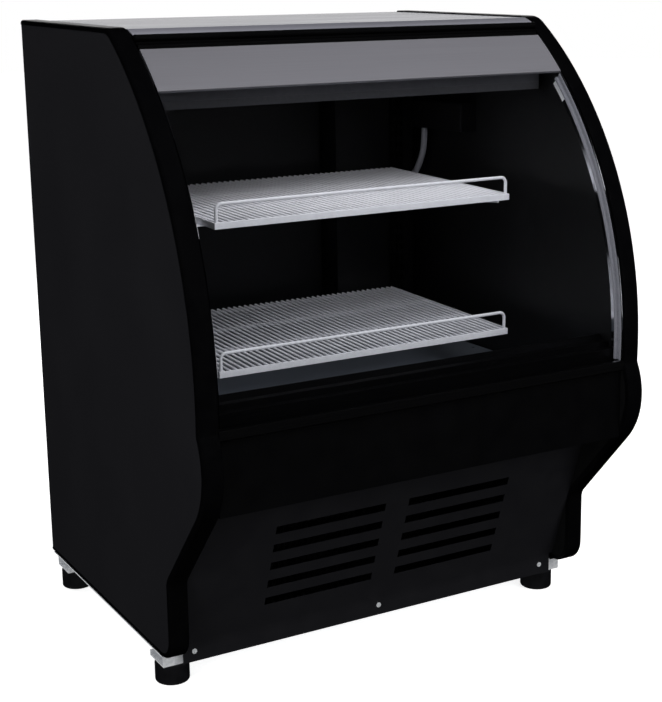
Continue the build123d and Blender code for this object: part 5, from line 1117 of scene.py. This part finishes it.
bm = bmesh.new()
loops = []
for outward, depth in GASKET_SECTION:
    x, z = GASKET_HALF[0] + outward, GASKET_HALF[1] + outward
    corners = [(way_x * x, GASKET_BACK + depth, GASKET_Z + way_z * z) for way_x, way_z in MITRES]
    loops.append([bm.verts.new(MM * Vector(spot)) for spot in corners])
for before, after in zip([loops[-1]] + loops, loops):
    for j in range(len(MITRES)):
        bm.faces.new((before[j - 1], before[j], after[j], after[j - 1]))
bmesh.ops.recalc_face_normals(bm, faces=bm.faces)
mesh = to_mesh(bm, sharp=50.0)
place("door_bellows_gasket", mesh, rubber, "rear_door", ["rear_door_gasket"])
mesh = softened("rear_door_handle", CUP_EDGE)
place("door_cup", mesh, textured, "rear_door", ["rear_door_handle"])
mesh = softened("rear_door_hinges", HINGE_EDGE)
place("door_hinge_plates", mesh, zinc, "cabinet", ["rear_door_hinges"])


# Rear grille and controls: a slotted lacquered sheet and a moulded plate with the thermostat
# knob, the rocker switch and the mains inlet, all held by cross-head screws. The dial's numbers
# and the switch's marks are pad-printed in ink, a thin flat white that stands clear on black.
GRILLE_EDGE = 0.3
EDGE_X = 449.0
REAR_FACE = 415.0
FACE_REAR = Matrix.Rotation(radians(-90), 4, "X")
SHEET_SCREWS = [(x, REAR_FACE, z) for x in (-EDGE_X, EDGE_X) for z in (395.0, 665.0, 935.0, 1205.0)]
GRILLE_SCREWS = [(x, REAR_FACE, z) for x in (-EDGE_X, 0.0, EDGE_X) for z in (90.0, 366.0)]
SHEET_HEAD = (4.5, 1.6)
PLATE_FACE = 418.0
PLATE_SCREWS = [(x, PLATE_FACE, z) for x in (236.0, 424.0) for z in (286.0, 344.0)]
PLATE_HEAD = (3.2, 1.2)
DIAL = (268.0, PLATE_FACE, 315.0)
DIAL_R = 23.5
DIAL_STEPS = 7
DIAL_SWEEP = 300.0
KNOB_EDGE = 0.3
NUMBER_H = 4.0
PRINT_MM = 0.06
CAPITAL = 0.7
AWAY = Matrix(((-1, 0, 0), (0, 0, 1), (0, 1, 0))).to_4x4()
PIVOT = (330.0, 415.0, 315.0)
ROCKER_EDGE = 0.4
ROCKER_TILT = radians(8.0)
ROCKER_DIP = radians(7.8)
MARK_H = 4.5
MARK_UP = 6.0
MARK_OUT = 4.35

mesh = softened("rear_grille", GRILLE_EDGE)
place("rear_slotted_sheet", mesh, lacquer, "cabinet", ["rear_grille"])
dress("control_panel", textured)
heads = [
    screws(SHEET_SCREWS + GRILLE_SCREWS, SHEET_HEAD, FACE_REAR, seed=5),
    screws(PLATE_SCREWS, PLATE_HEAD, FACE_REAR, seed=7),
]
place("rear_sheet_screws", joined(heads), zinc, "cabinet")
print_ink = finish("white_pad_print", ("#d8d8da", "#e2e2e4"), 0.0, (0.5, 0.6), 2.0, 0.4, 0.01)


def printed(text, height, spot):
    """Thin raised lettering that reads from the rear, its capitals a height in mm, centred on
    a place in mm."""
    curve = bpy.data.curves.new("lettering", "FONT")
    curve.body = text
    curve.size = MM * height / CAPITAL
    curve.extrude = MM * PRINT_MM
    curve.align_x = "CENTER"
    curve.align_y = "CENTER"
    made = plain_mesh(bpy.data.objects.new("carrier", curve))
    made.transform(Matrix.Translation(MM * Vector(spot)) @ AWAY)
    return made


numbers = []
for i in range(DIAL_STEPS):
    turn = radians(DIAL_SWEEP * i / (DIAL_STEPS - 1))
    spot = (DIAL[0] + DIAL_R * sin(turn), DIAL[1], DIAL[2] + DIAL_R * cos(turn))
    numbers.append(printed(str(i), NUMBER_H, spot))
place("dial_numbers", joined(numbers), print_ink, "cabinet")
mesh = softened("thermostat_knob", KNOB_EDGE, sharp=35.0)
place("thermostat_dial", mesh, nylon, "knob", ["thermostat_knob"])

mesh = softened("power_switch", ROCKER_EDGE)
place("rocker", mesh, nylon, "switch", ["power_switch"])
on_the_switch = Matrix.Translation(MM * Vector(PIVOT)) @ Matrix.Rotation(ROCKER_TILT, 4, "X")
marks = []
for text, way in (("I", 1), ("O", -1)):
    on_the_half = Matrix.Translation((0, MM * MARK_OUT, MM * MARK_UP * way))
    dipped = Matrix.Rotation(-ROCKER_DIP * way, 4, "X")
    mark = printed(text, MARK_H, (0, 0, 0))
    mark.transform(on_the_switch @ on_the_half @ dipped)
    marks.append(mark)
place("rocker_marks", joined(marks), print_ink, "switch")
dress("power_inlet", textured)
